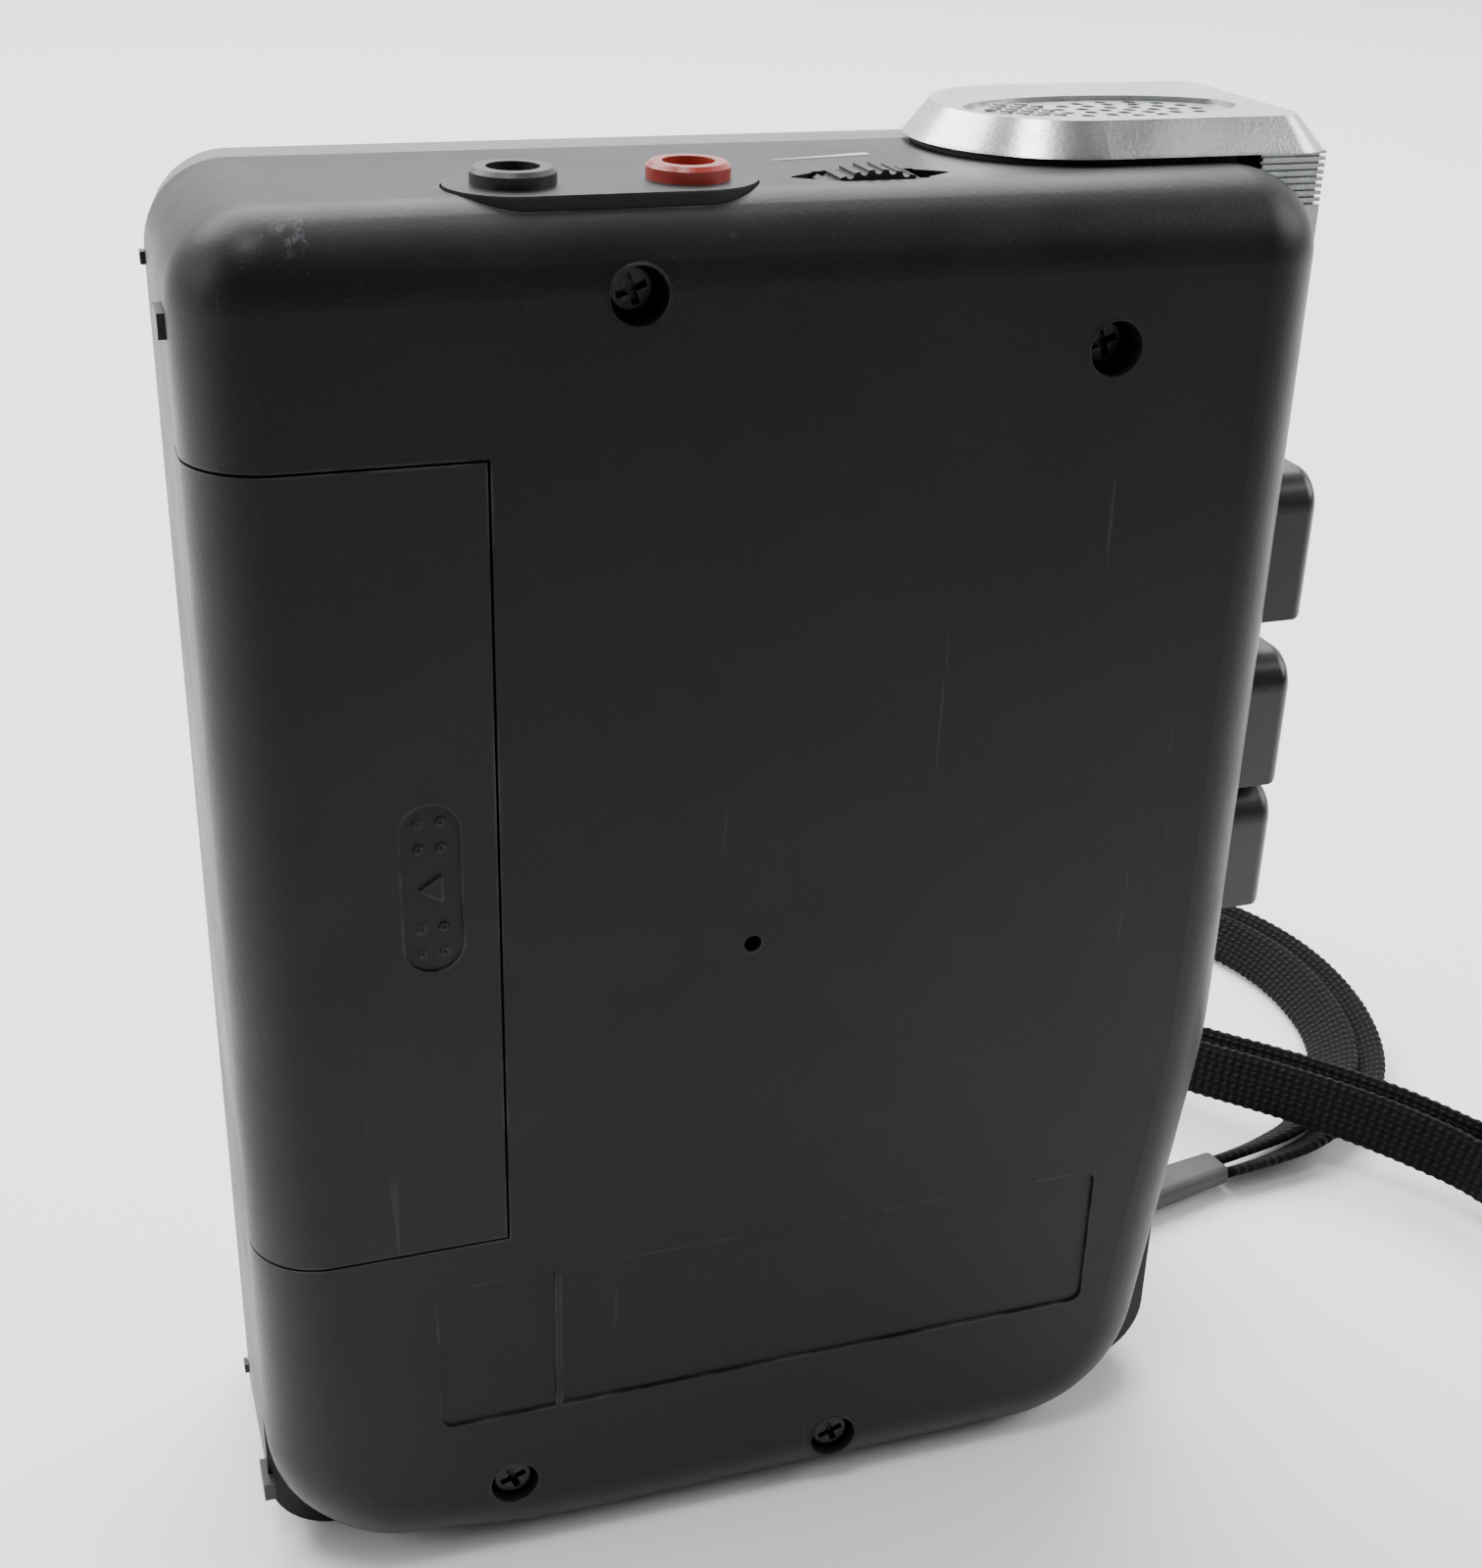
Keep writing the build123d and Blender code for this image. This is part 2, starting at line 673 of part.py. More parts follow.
def key_guide():
    """Steel comb that carries the key stems."""
    x0 = -inside + 1.2 + key_travel + 0.4
    low = key_zones["stop_key"][0] - 1.0
    high = key_zones["record_key"][1] + 1.0
    guide = box((x0, x0 + 0.8), (plate_y + mech_thickness, 8.0), (low, high))
    for z_low, z_high in key_zones.values():
        middle = (z_low + z_high) / 2
        guide -= box((x0 - 1, x0 + 2), (3.0 - 0.15, 6.0 + 0.15), (middle - 2.15, middle + 2.15))
    foot = box((x0, x0 + 5), (plate_y, plate_y + mech_thickness), (low, high))
    return guide + foot - box((x0 - 1, x0 + 9), (plate_y - 1, plate_y + mech_thickness), (low - 1, high + 1))


def key_springs():
    """Flat return springs fixed inside the comb, one finger behind each stem."""
    x0 = -inside + 1.2 + key_stem_length + key_travel + 0.5
    low = key_zones["stop_key"][0]
    high = key_zones["record_key"][1]
    spring = box((x0 + 1.2, x0 + 1.6), (plate_y + mech_thickness, 1.5), (low, high))
    for z_low, z_high in key_zones.values():
        middle = (z_low + z_high) / 2
        spring += box((x0 + 1.2, x0 + 1.6), (1.5, 7.0), (middle - 1.5, middle + 1.5))
    return spring


# ---------------------------------------------------------------- tape mechanism
def mechanism_plate():
    """Steel plate that carries the whole tape mechanism."""
    y_range = (plate_y, plate_y + mech_thickness)
    plate = box((-36.5, 20.5), y_range, (lid_bottom - 4, lid_top + 1.5))
    for z in (tape_z - hub_pitch / 2, tape_z + hub_pitch / 2):
        plate -= rod_y(tape_x, z, shaft_radius + running, (plate_y - 1, plate_y + 3))
    plate -= rod_y(capstan_x, capstan_z, bush_radius, (plate_y - 1, plate_y + 3))
    plate -= rod_y(-24.0, 100.7, boss_radius + 1.2, (plate_y - 1, plate_y + 3))
    for x, z in mechanism_screw_places():
        plate -= rod_y(x, z, 0.95, (plate_y - 1, plate_y + 3))
    return plate


def mechanism_screw_places():
    return [(-32.0, lid_bottom - 1), (18.4, lid_bottom - 2), (18.4, tape_z + hub_pitch / 2)]


def mechanism_posts():
    """Brass posts that space the plate from the circuit board."""
    posts = []
    for x, z in mechanism_screw_places():
        post = rod_y(x, z, 1.8, (plate_y + mech_thickness, 9.0))
        post -= rod_y(x, z, 0.9, (plate_y, 5.0))
        posts.append(post)
    return join(*posts)


def mechanism_screws():
    screws = []
    for x, z in mechanism_screw_places():
        screw = rod_y(x, z, 1.5, (plate_y - 0.8, plate_y)) + rod_y(x, z, 0.85, (plate_y, 4.0))
        screws.append(screw)
    return join(*screws)


def reel_spindle(z):
    """Reel table with a three-winged spindle; its shaft runs in the plate."""
    front = plate_y - 0.25
    table = rod_y(tape_x, z, reel_radius, (front - reel_thickness, front))
    post = rod_y(tape_x, z, 1.5, (front - reel_thickness - spindle_length, front - reel_thickness))
    table += fillet(edges_at(post, front - reel_thickness - spindle_length), 0.6)
    for i in range(3):
        wing = box((tape_x, tape_x + spindle_radius), (front - reel_thickness - spindle_length + 1.2,
                   front - reel_thickness), (-0.4, 0.4))
        table += Pos(0, 0, z) * Rot(0, 120 * i + 30, 0) * wing
    table += rod_y(tape_x, z, shaft_radius, (front, plate_y + mech_thickness + 1.4))
    return table


def capstan():
    """Ground steel shaft pressed into the flywheel."""
    return rod_y(capstan_x, capstan_z, capstan_radius, (plate_y - capstan_length, flywheel_back))


def capstan_bush():
    """Brass bearing in the plate."""
    bush = rod_y(capstan_x, capstan_z, bush_radius, (plate_y - 0.8, plate_y + mech_thickness))
    return bush - rod_y(capstan_x, capstan_z, capstan_radius + running, (plate_y - 2, plate_y + 4))


def flywheel():
    """Heavy brass wheel with a belt groove in its rim."""
    y_range = (flywheel_back - flywheel_thickness, flywheel_back)
    wheel = rod_y(capstan_x, capstan_z, flywheel_radius, y_range)
    groove_middle = flywheel_back - flywheel_thickness / 2
    groove = rod_y(capstan_x, capstan_z, flywheel_radius + 1, (groove_middle - 0.5, groove_middle + 0.5))
    groove -= rod_y(capstan_x, capstan_z, flywheel_radius - 0.6, (groove_middle - 1, groove_middle + 1))
    recess = rod_y(capstan_x, capstan_z, 9.0, (flywheel_back - 0.6, flywheel_back + 1))
    recess -= rod_y(capstan_x, capstan_z, 3.0, (flywheel_back - 1, flywheel_back + 1))
    return wheel - groove - recess - rod_y(capstan_x, capstan_z, capstan_radius, (-20, 20))


def motor():
    """Round motor can behind the plate, on the battery side."""
    can = rod_y(motor_x, motor_z, motor_radius, (plate_y + mech_thickness, plate_y + mech_thickness + motor_length))
    cap = rod_y(motor_x, motor_z, 2.6, (plate_y + mech_thickness + motor_length, plate_y + mech_thickness + motor_length + 0.2))
    bore = rod_y(motor_x, motor_z, 0.55, (plate_y + mech_thickness + 0.5, 20))
    return can + cap - bore


def motor_pulley():
    """Grooved brass pulley on the motor shaft."""
    back = flywheel_back - flywheel_thickness / 2
    pulley = rod_y(motor_x, motor_z, pulley_radius + 0.5, (back - pulley_thickness / 2, back + pulley_thickness / 2))
    groove = rod_y(motor_x, motor_z, pulley_radius + 2, (back - 0.5, back + 0.5))
    groove -= rod_y(motor_x, motor_z, pulley_radius, (back - 1, back + 1))
    shaft = rod_y(motor_x, motor_z, 0.5, (plate_y + mech_thickness + 0.8, back + pulley_thickness / 2 + 0.3))
    return pulley - groove + shaft


def drive_belt():
    """Square rubber belt round the flywheel and the pulley."""
    y = flywheel_back - flywheel_thickness / 2
    big = flywheel_radius - 0.6 + 0.02
    small = pulley_radius + 0.02
    dx = motor_x - capstan_x
    dz = motor_z - capstan_z
    span = sqrt(dx * dx + dz * dz)
    outer = belt_loop(span, big + belt_thickness, small + belt_thickness)
    inner = belt_loop(span, big, small)
    ring = extrude(outer - inner, belt_thickness)
    tilt = degrees(atan2(dz, dx))
    place = Plane(origin=(capstan_x, y - belt_thickness / 2, capstan_z), x_dir=(1, 0, 0), z_dir=(0, -1, 0))
    ring = Pos(0, 0, -belt_thickness) * ring
    return place * (Rot(0, 0, tilt) * ring)


def belt_loop(span, big, small):
    """Area inside a belt that runs round two circles."""
    slope = (big - small) / span
    rise = sqrt(1 - slope * slope)
    corners = [(big * slope, big * rise), (span + small * slope, small * rise),
               (span + small * slope, -small * rise), (big * slope, -big * rise)]
    strip = make_face(Polyline(*corners, close=True))
    return Circle(big) + Pos(span, 0) * Circle(small) + strip


def head_slide():
    """Sliding steel tray that carries both heads and the pinch roller."""
    back = plate_y - clearance
    tray = box((-33.0, -20.4), (back - 0.6, back), (capstan_z - 5.0, tape_z + 14.0))
    tray -= rod_y(roller_x, capstan_z, bush_radius + head_travel + 1.0, (back - 2, back + 1))
    tray += rod_y(roller_x - 6.0, capstan_z, 2.0, (back - 0.6, back))
    return tray


def pinch_arm():
    """Fork that holds the pinch roller's pin, fixed to the tray."""
    back = plate_y - clearance - 0.6
    arm = box((roller_x - 8.0, roller_x - roller_radius - 0.5), (back - 1.4, back), (capstan_z - 2.5, capstan_z + 2.5))
    arm += box((roller_x - 8.0, roller_x + 1.2), (back - 1.0, back - 0.3), (capstan_z - 1.5, capstan_z + 1.5))
    arm += rod_y(roller_x, capstan_z, 0.6, (back - 1.0 - roller_length - 0.8, back - 1.0))
    return arm


def pinch_roller():
    """Rubber roller on the fork's pin."""
    back = plate_y - clearance - 1.6 - 0.2
    roller = rod_y(roller_x, capstan_z, roller_radius, (back - roller_length, back))
    return roller - rod_y(roller_x, capstan_z, 0.6 + running, (back - roller_length - 1, back + 1))


def record_play_head():
    """Shielded head with a rounded face towards the tape."""
    back = plate_y - clearance - 0.6
    head = box((-29.0, -21.2), (back - 5.6, back), (tape_z - 3.2, tape_z + 3.2))
    face = [e for e in head.edges().filter_by(Axis.Y) if e.center().X > -21.3]
    return fillet(face, 1.6)


def erase_head():
    """Smaller plastic head beside the first."""
    back = plate_y - clearance - 0.6
    head = box((-27.0, -21.6), (back - 5.0, back), (tape_z + 8.0, tape_z + 11.6))
    face = [e for e in head.edges().filter_by(Axis.Y) if e.center().X > -21.7]
    return fillet(face, 1.0)


# ---------------------------------------------------------------- cassette lid
def cassette_lid():
    """Hinged lid with a window opening, two cassette rails and its own hinge pins."""
    y_range = (y_front, y_front + lid_thickness)
    lid = slab_y(lid_size[0], lid_size[1], 1.0, lid_centre, y_range)
    rim = [e for e in edges_at(lid, y_front)]
    lid = fillet(rim, 0.7)
    lid -= slab_y(window_size[0], window_size[1], 2.0, window_centre, (y_front - 1, y_range[1] + 1))
    for z in (tape_z - 26.4, tape_z + 25.2):
        lid += box((-20.0, 14.0), (y_range[1], y_range[1] + rail_depth), (z, z + 1.2))
    for low in (lid_bottom - hinge_pin_length, lid_top):
        lid += rod_z(hinge_x, hinge_y, hinge_pin_radius, (low, low + hinge_pin_length))
    return lid


def lid_window():
    """Clear panel that fills the lid's opening."""
    gap = 0.03
    size = (window_size[0] - 2 * gap, window_size[1] - 2 * gap)
    return slab_y(size[0], size[1], 2.0 - gap, window_centre, (y_front + 0.2, y_front + lid_thickness))


# ---------------------------------------------------------------- speaker and electronics
def speaker():
    """Steel basket and magnet behind the lower front grille."""
    front = y_front + wall
    basket = rod_y(speaker_x, speaker_z, speaker_radius, (front + 0.6, front + 1.6))
    basket += rod_y(speaker_x, speaker_z, cone_radius, (front + 1.6, front + speaker_depth))
    basket += rod_y(speaker_x, speaker_z, magnet_radius, (front + speaker_depth, front + speaker_depth + magnet_depth))
    return basket - rod_y(speaker_x, speaker_z, cone_radius - 0.6, (front, front + speaker_depth - 0.8))


def speaker_cone():
    """Paper cone inside the basket."""
    front = y_front + wall
    base = Plane(origin=(speaker_x, front + 0.7, speaker_z), x_dir=(-1, 0, 0), z_dir=(0, 1, 0))
    outer = extrude(base * Circle(cone_radius - 0.8), 3.2, taper=38)
    hollow = extrude(base * Circle(cone_radius - 1.3), 2.7, taper=38)
    return outer - hollow


def circuit_board():
    """Main board behind the mechanism, cut away round the motor, flywheel and jacks."""
    board_y = (10.4, 11.6)
    board = box((-34.0, bay_inner_x - bay_wall - 0.5), board_y, (11.0, 94.0))
    for x, z in screw_places:
        board -= rod_y(x, z, boss_radius + clearance, (5, 15))
    return board


def board_parts():
    """Larger parts on the board: two chips, four capacitors and a coil."""
    front = 10.4
    parts = [box((-6, 4), (front - 1.6, front), (24, 30)), box((-24, -17), (front - 1.6, front), (30, 36))]
    for x, z in ((-26, 18), (-18, 18), (12, 20), (12, 34)):
        parts.append(rod_y(x, z, 2.4, (front - 5.5, front)))
    parts.append(box((-2, 5), (front - 4, front), (36, 42)))
    return join(*parts)


def speed_trimmer():
    """Speed adjuster that faces the small hole in the back."""
    trimmer = rod_y(*trimmer_place, 2.2, (11.6, 13.4))
    x, z = trimmer_place
    return trimmer - box((x - 1.5, x + 1.5), (12.9, 14), (z - 0.2, z + 0.2))


def record_lamp():
    """Small red lamp in the front frame."""
    lens = rod_y(27.0, 104.0, 1.0, (y_front + 0.1, y_front + wall + 2.5))
    return fillet(edges_at(lens, y_front + 0.1), 0.4)


# ---------------------------------------------------------------- fasteners, clips and strap
def case_screws():
    screws = []
    for (x, z), depth in zip(screw_places, screw_recess_depths):
        seat = y_back - depth
        head = rod_y(x, z, screw_head_radius, (seat, seat + screw_head_height))
        head = fillet(edges_at(head, seat + screw_head_height), 0.4)
        for turn in (0, 90):
            arm = box((-1.1, 1.1), (seat + screw_head_height - 0.7, seat + 3), (-0.28, 0.28))
            head -= Pos(x, 0, z) * Rot(0, turn + 20, 0) * arm
        screws.append(head + rod_y(x, z, screw_shank_radius, (seat - screw_length, seat)))
    return join(*screws)


def side_clips():
    """Two small dark clips that bridge the seam on the left wall."""
    clips = []
    for low in (103.3, 5.2):
        clip = box((side, side + 0.5), (y_part - 1.8, y_part + 1.0), (low, low + 1.7))
        clip += box((side - 0.4, side + 0.5), (y_part + 0.2, y_part + 1.4), (low, low + 1.7))
        clips.append(clip - rear_shell_outer(0))
    return join(*clips)


def frame_tabs():
    """Snap tabs of the front frame showing on the left wall."""
    tabs = []
    for low in (105.0, 6.9):
        tabs.append(box((side, side + 0.35), (y_frame - 0.5, y_frame + 0.5), (low, low + 0.9)))
    return join(*tabs)


def strap_pin():
    low, high = strap_pocket[2]
    return rod_z(strap_pin_x, strap_pin_y, strap_pin_radius, (low - 0.8, high + 1))


def strap_sleeve():
    """Moulded grey sleeve with an eye that turns on the strap pin."""
    dx = sleeve_end[0] - sleeve_start[0]
    dy = sleeve_end[1] - sleeve_start[1]
    length = sqrt(dx * dx + dy * dy)
    angle = degrees(atan2(dy, dx))
    near = RectangleRounded(sleeve_width, sleeve_thickness, 0.9)
    far = RectangleRounded(sleeve_width - sleeve_taper[0], sleeve_thickness - sleeve_taper[1], 0.9)
    sections = [(Plane(origin=(x, 0, 0), x_dir=(0, 1, 0), z_dir=(1, 0, 0)) * sketch).face()
                for x, sketch in ((0, near), (length, far))]
    block = loft(sections)
    block = fillet(block.faces().sort_by(Axis.X)[-1].edges(), 0.5)
    sleeve = Pos(sleeve_start[0], sleeve_start[1], sleeve_z) * Rot(0, 0, angle) * block
    eye_z = 4.9
    eye = rod_z(strap_pin_x, strap_pin_y, 1.9, (eye_z - 1.2, eye_z + 1.2))
    neck = box((strap_pin_x - 6.2, strap_pin_x), (strap_pin_y - 1.6, strap_pin_y + 1.2), (eye_z - 1.2, eye_z + 1.2))
    drop = box((sleeve_start[0] - 3.0, sleeve_start[0] - 0.6), (strap_pin_y - 2.2, strap_pin_y + 1.2),
               (sleeve_z, eye_z + 1.2))
    hole = rod_z(strap_pin_x, strap_pin_y, strap_pin_radius + running, (0, 10))
    return sleeve + eye + neck + drop - hole


strap_route = [
    (-62.5, -12.2, 2.0), (-69.8, -12.7, 2.1), (-78.0, -15.9, 2.1),
    (-85.8, -22.0, 2.2), (-90.8, -31.3, 2.5), (-92.8, -41.9, 2.7),
    (-91.9, -52.6, 2.7), (-87.4, -62.4, 2.7), (-78.3, -68.6, 2.8),
    (-67.6, -66.6, 3.0), (-60.2, -58.3, 3.2), (-57.3, -47.3, 4.2),
    (-59.0, -35.7, 5.6), (-64.6, -25.5, 7.0), (-72.1, -16.8, 7.5),
    (-79.2, -8.6, 7.2), (-86.4, 0.7, 5.8), (-86.5, 10.6, 4.8),
    (-90.2, 15.5, 4.0), (-96.4, 16.4, 3.4), (-101.3, 12.6, 3.2),
    (-102.1, 6.4, 3.3), (-98.3, 1.5, 4.4), (-88.8, -1.1, 5.8),
    (-81.6, -10.6, 7.2), (-74.3, -18.8, 7.5), (-67.0, -27.3, 7.0),
    (-61.8, -36.7, 5.6), (-60.3, -47.1, 4.2), (-63.0, -56.9, 3.2),
    (-69.2, -63.8, 3.0), (-77.7, -65.4, 2.8), (-85.0, -60.4, 2.7),
    (-88.9, -51.8, 2.7), (-89.8, -42.1, 2.7), (-88.0, -32.3, 2.5),
    (-83.4, -24.0, 2.2), (-76.4, -18.5, 2.1), (-69.2, -15.5, 2.1),
    (-62.3, -14.4, 2.0),
]


def strap_radii(points):
    """Largest arc that each corner's two runs allow."""
    radii = []
    for before, here, after in zip(points, points[1:], points[2:]):
        first = Vector(*here) - Vector(*before)
        second = Vector(*after) - Vector(*here)
        half_turn = radians(first.get_angle(second)) / 2
        radii.append(0.45 * min(first.length, second.length) / tan(half_turn))
    return radii


def strap():
    """Woven wrist loop: out of the sleeve, round, over itself, and back beside itself."""
    radii = strap_radii(strap_route)
    path = FilletPolyline(*strap_route, radius=radii)
    print("strap length", round(path.length, 1), "smallest radius", round(min(radii), 1))
    print("strap radii", [round(r, 1) for r in radii])
    start = Plane(origin=path @ 0, z_dir=path % 0)
    tube = sweep(start * Circle(strap_tube_radius), path=path)
    expected = pi * strap_tube_radius ** 2 * path.length
    print("strap volume / expected", round(tube.volume / expected, 4))
    return tube


# ---------------------------------------------------------------- build
nodes = {
    "rear_cabinet": rear_cabinet(),
    "middle_cabinet": middle_cabinet(),
    "front_frame": front_frame(),
    "battery_cover": battery_cover(),
    "battery_bay": battery_bay(),
    "rear_cell": cell(cell_y, True),
    "front_cell": cell(-cell_y, False),
    "contact_springs": contact_springs(),
    "contact_plates": contact_plates(),
    "jack_plate": jack_plate(),
    "ear_jack_collar": jack_collar(ear_jack_x),
    "mic_jack_collar": jack_collar(mic_jack_x),
    "ear_jack_body": jack_body(ear_jack_x),
    "mic_jack_body": jack_body(mic_jack_x),
    "volume_wheel": volume_wheel(),
    "volume_potentiometer": volume_potentiometer(),
    "mic_cover": mic_cover(),
    "mic_gasket": mic_gasket(),
    "mic_capsule": mic_capsule(),
    "key_guide": key_guide(),
    "key_springs": key_springs(),
    "mechanism_plate": mechanism_plate(),
    "mechanism_posts": mechanism_posts(),
    "mechanism_screws": mechanism_screws(),
    "supply_spindle": reel_spindle(tape_z + hub_pitch / 2),
    "takeup_spindle": reel_spindle(tape_z - hub_pitch / 2),
    "capstan": capstan(),
    "capstan_bush": capstan_bush(),
    "flywheel": flywheel(),
    "motor": motor(),
    "motor_pulley": motor_pulley(),
    "drive_belt": drive_belt(),
    "head_slide": head_slide(),
    "pinch_arm": pinch_arm(),
    "pinch_roller": pinch_roller(),
    "record_play_head": record_play_head(),
    "erase_head": erase_head(),
    "cassette_lid": cassette_lid(),
    "lid_window": lid_window(),
    "speaker": speaker(),
    "speaker_cone": speaker_cone(),
    "circuit_board": circuit_board(),
    "board_parts": board_parts(),
    "speed_trimmer": speed_trimmer(),
    "record_lamp": record_lamp(),
    "case_screws": case_screws(),
    "side_clips": side_clips(),
    "frame_tabs": frame_tabs(),
    "strap_pin": strap_pin(),
    "strap_sleeve": strap_sleeve(),
    "strap": strap(),
}
for key_name, key_range in key_zones.items():
    nodes[key_name] = key(key_range)

for node_name, node_solid in nodes.items():
    finish(node_solid, node_name)
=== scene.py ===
# %% [markdown]
# # A small dictation recorder, seen from the back
#
# The machine stands on its lower end on a pale table, with its woven wrist strap trailing beside it.
# The hard parts arrive already modelled, in metres, each standing where it belongs. This lesson gives
# them finishes, adds the soft and small pieces that a hard-surface model leaves out, and lights them.

# %% Load the parts
import bpy
from math import cos, pi, radians, sin
from mathutils import Matrix, Vector


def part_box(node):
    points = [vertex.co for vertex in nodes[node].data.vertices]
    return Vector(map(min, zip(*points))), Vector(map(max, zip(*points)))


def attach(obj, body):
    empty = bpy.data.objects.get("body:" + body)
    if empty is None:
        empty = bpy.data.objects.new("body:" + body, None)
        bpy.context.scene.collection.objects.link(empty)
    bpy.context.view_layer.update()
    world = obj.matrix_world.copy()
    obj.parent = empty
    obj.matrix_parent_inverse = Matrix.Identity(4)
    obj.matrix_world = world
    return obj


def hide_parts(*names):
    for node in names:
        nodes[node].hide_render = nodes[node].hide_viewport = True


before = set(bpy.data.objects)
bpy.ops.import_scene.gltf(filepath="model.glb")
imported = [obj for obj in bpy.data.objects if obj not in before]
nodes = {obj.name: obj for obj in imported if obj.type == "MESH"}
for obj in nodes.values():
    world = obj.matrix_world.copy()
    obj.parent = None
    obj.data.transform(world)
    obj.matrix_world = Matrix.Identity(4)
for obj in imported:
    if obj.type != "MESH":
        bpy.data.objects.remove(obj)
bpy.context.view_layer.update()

# %% [markdown]
# ## The camera
#
# The view is from above the back corner, so it takes in the back, the top and the right-hand keys. A
# camera needs a place, a direction and a lens. The direction is built from three turns: how far it
# swings round, how far it dips, and how far it rolls. A matrix made from them is easy to adjust.

# %% Place the camera
camera_place = (0.0499, 0.1504, 0.1388)
swing, dip, roll = radians(19.06), radians(25.85), radians(1.68)
focal_length, film_height, nearest = 49.52, 36, 0.01
forward = Vector((-sin(swing) * cos(dip), -cos(swing) * cos(dip), -sin(dip)))
level = Vector((-cos(swing), sin(swing), 0))
rise = level.cross(forward)
right = level * cos(roll) + rise * sin(roll)
up = rise * cos(roll) - level * sin(roll)
lens = bpy.data.cameras.new("view")
lens.sensor_fit = "VERTICAL"
lens.sensor_height = film_height
lens.lens = focal_length
lens.clip_start = nearest
camera = bpy.data.objects.new("view", lens)
axes = Matrix((right, up, -forward)).transposed().to_4x4()
camera.matrix_world = Matrix.Translation(camera_place) @ axes
bpy.context.scene.collection.objects.link(camera)
bpy.context.scene.camera = camera
print("camera at", [round(v, 3) for v in camera.location])

# %% [markdown]
# ## The strap's path
#
# The strap is one flat woven band whose two ends meet in a rubber sleeve. It leaves the sleeve as a
# doubled band, goes round behind the case, comes back over itself and turns round in a small eye. A
# smooth curve that is pulled along by a chain of points gives that lazy line. The points are in metres.

# %% Draw the path
strap_points = [
    (-0.0626, -0.0122, 0.0020), (-0.0698, -0.0127, 0.0021), (-0.0780, -0.0159, 0.0021),
    (-0.0858, -0.0220, 0.0022), (-0.0908, -0.0313, 0.0025), (-0.0928, -0.0419, 0.0027),
    (-0.0919, -0.0526, 0.0027), (-0.0874, -0.0624, 0.0027), (-0.0783, -0.0686, 0.0028),
    (-0.0676, -0.0666, 0.0030), (-0.0602, -0.0583, 0.0032), (-0.0573, -0.0473, 0.0042),
    (-0.0590, -0.0357, 0.0056), (-0.0646, -0.0255, 0.0070), (-0.0721, -0.0168, 0.0075),
    (-0.0792, -0.0086, 0.0072), (-0.0864, 0.0007, 0.0058), (-0.0865, 0.0106, 0.0048),
    (-0.0902, 0.0155, 0.0040), (-0.0964, 0.0164, 0.0034), (-0.1013, 0.0126, 0.0032),
    (-0.1021, 0.0064, 0.0033), (-0.0983, 0.0015, 0.0044), (-0.0888, -0.0011, 0.0058),
    (-0.0816, -0.0106, 0.0072), (-0.0743, -0.0188, 0.0075), (-0.0670, -0.0273, 0.0070),
    (-0.0618, -0.0367, 0.0056), (-0.0603, -0.0471, 0.0042), (-0.0630, -0.0569, 0.0032),
    (-0.0692, -0.0638, 0.0030), (-0.0777, -0.0654, 0.0028), (-0.0850, -0.0604, 0.0027),
    (-0.0889, -0.0518, 0.0027), (-0.0898, -0.0421, 0.0027), (-0.0880, -0.0323, 0.0025),
    (-0.0834, -0.0240, 0.0022), (-0.0764, -0.0185, 0.0021), (-0.0691, -0.0155, 0.0021),
    (-0.0622, -0.0144, 0.0020),
]


def smooth_line(points, steps):
    """Points of a smooth curve that a chain of points pulls along."""
    data = bpy.data.curves.new("route", "CURVE")
    data.dimensions = "3D"
    data.resolution_u = steps
    spline = data.splines.new("NURBS")
    spline.points.add(len(points) - 1)
    for knot, place in zip(spline.points, points):
        knot.co = (*place, 1)
    spline.order_u = 3
    spline.use_endpoint_u = True
    guide = bpy.data.objects.new("route", data)
    bpy.context.scene.collection.objects.link(guide)
    line = bpy.data.meshes.new_from_object(guide)
    places = [v.co.copy() for v in line.vertices]
    bpy.data.objects.remove(guide)
    bpy.data.meshes.remove(line)
    return places


steps_per_point = 36
strap_line = smooth_line(strap_points, steps_per_point)

# %% [markdown]
# ## Weaving the band round the path
#
# A flat band can stand on its edge, lie down or lean, and this one does all three. At every station a
# flat oval section is set across the path, leaning by an angle that changes slowly from corner to
# corner. The selvage of real webbing is knobbly, so the section's two edges swell and shrink by a
# fraction of a millimetre along the way. Its own map runs in metres along and across the band.

# %% Build the band
lean_out = [50, 58, 62, 60, 50, 45, 45, 45, 40, 28, 12, 0, -15, -25, -28, -28, -15]
leans = lean_out + [-6, 0, 0, 0, 0, 6] + [-a for a in reversed(lean_out)]
width_out = [2.8, 4.2, 5.6] + [5.9] * 14
widths = width_out + [5.9] * 6 + list(reversed(width_out))
band_thickness = 0.00115
knob_height, knob_pitch = 0.00007, 0.00115
edge_squareness, face_squareness = 0.45, 0.8


def along(values, share):
    """Value at a share of the way through a list, blended between neighbours."""
    place = min(max(share, 0.0), 1.0) * (len(values) - 1)
    i = min(int(place), len(values) - 2)
    blend = place - i
    blend = blend * blend * (3 - 2 * blend)
    return values[i] * (1 - blend) + values[i + 1] * blend


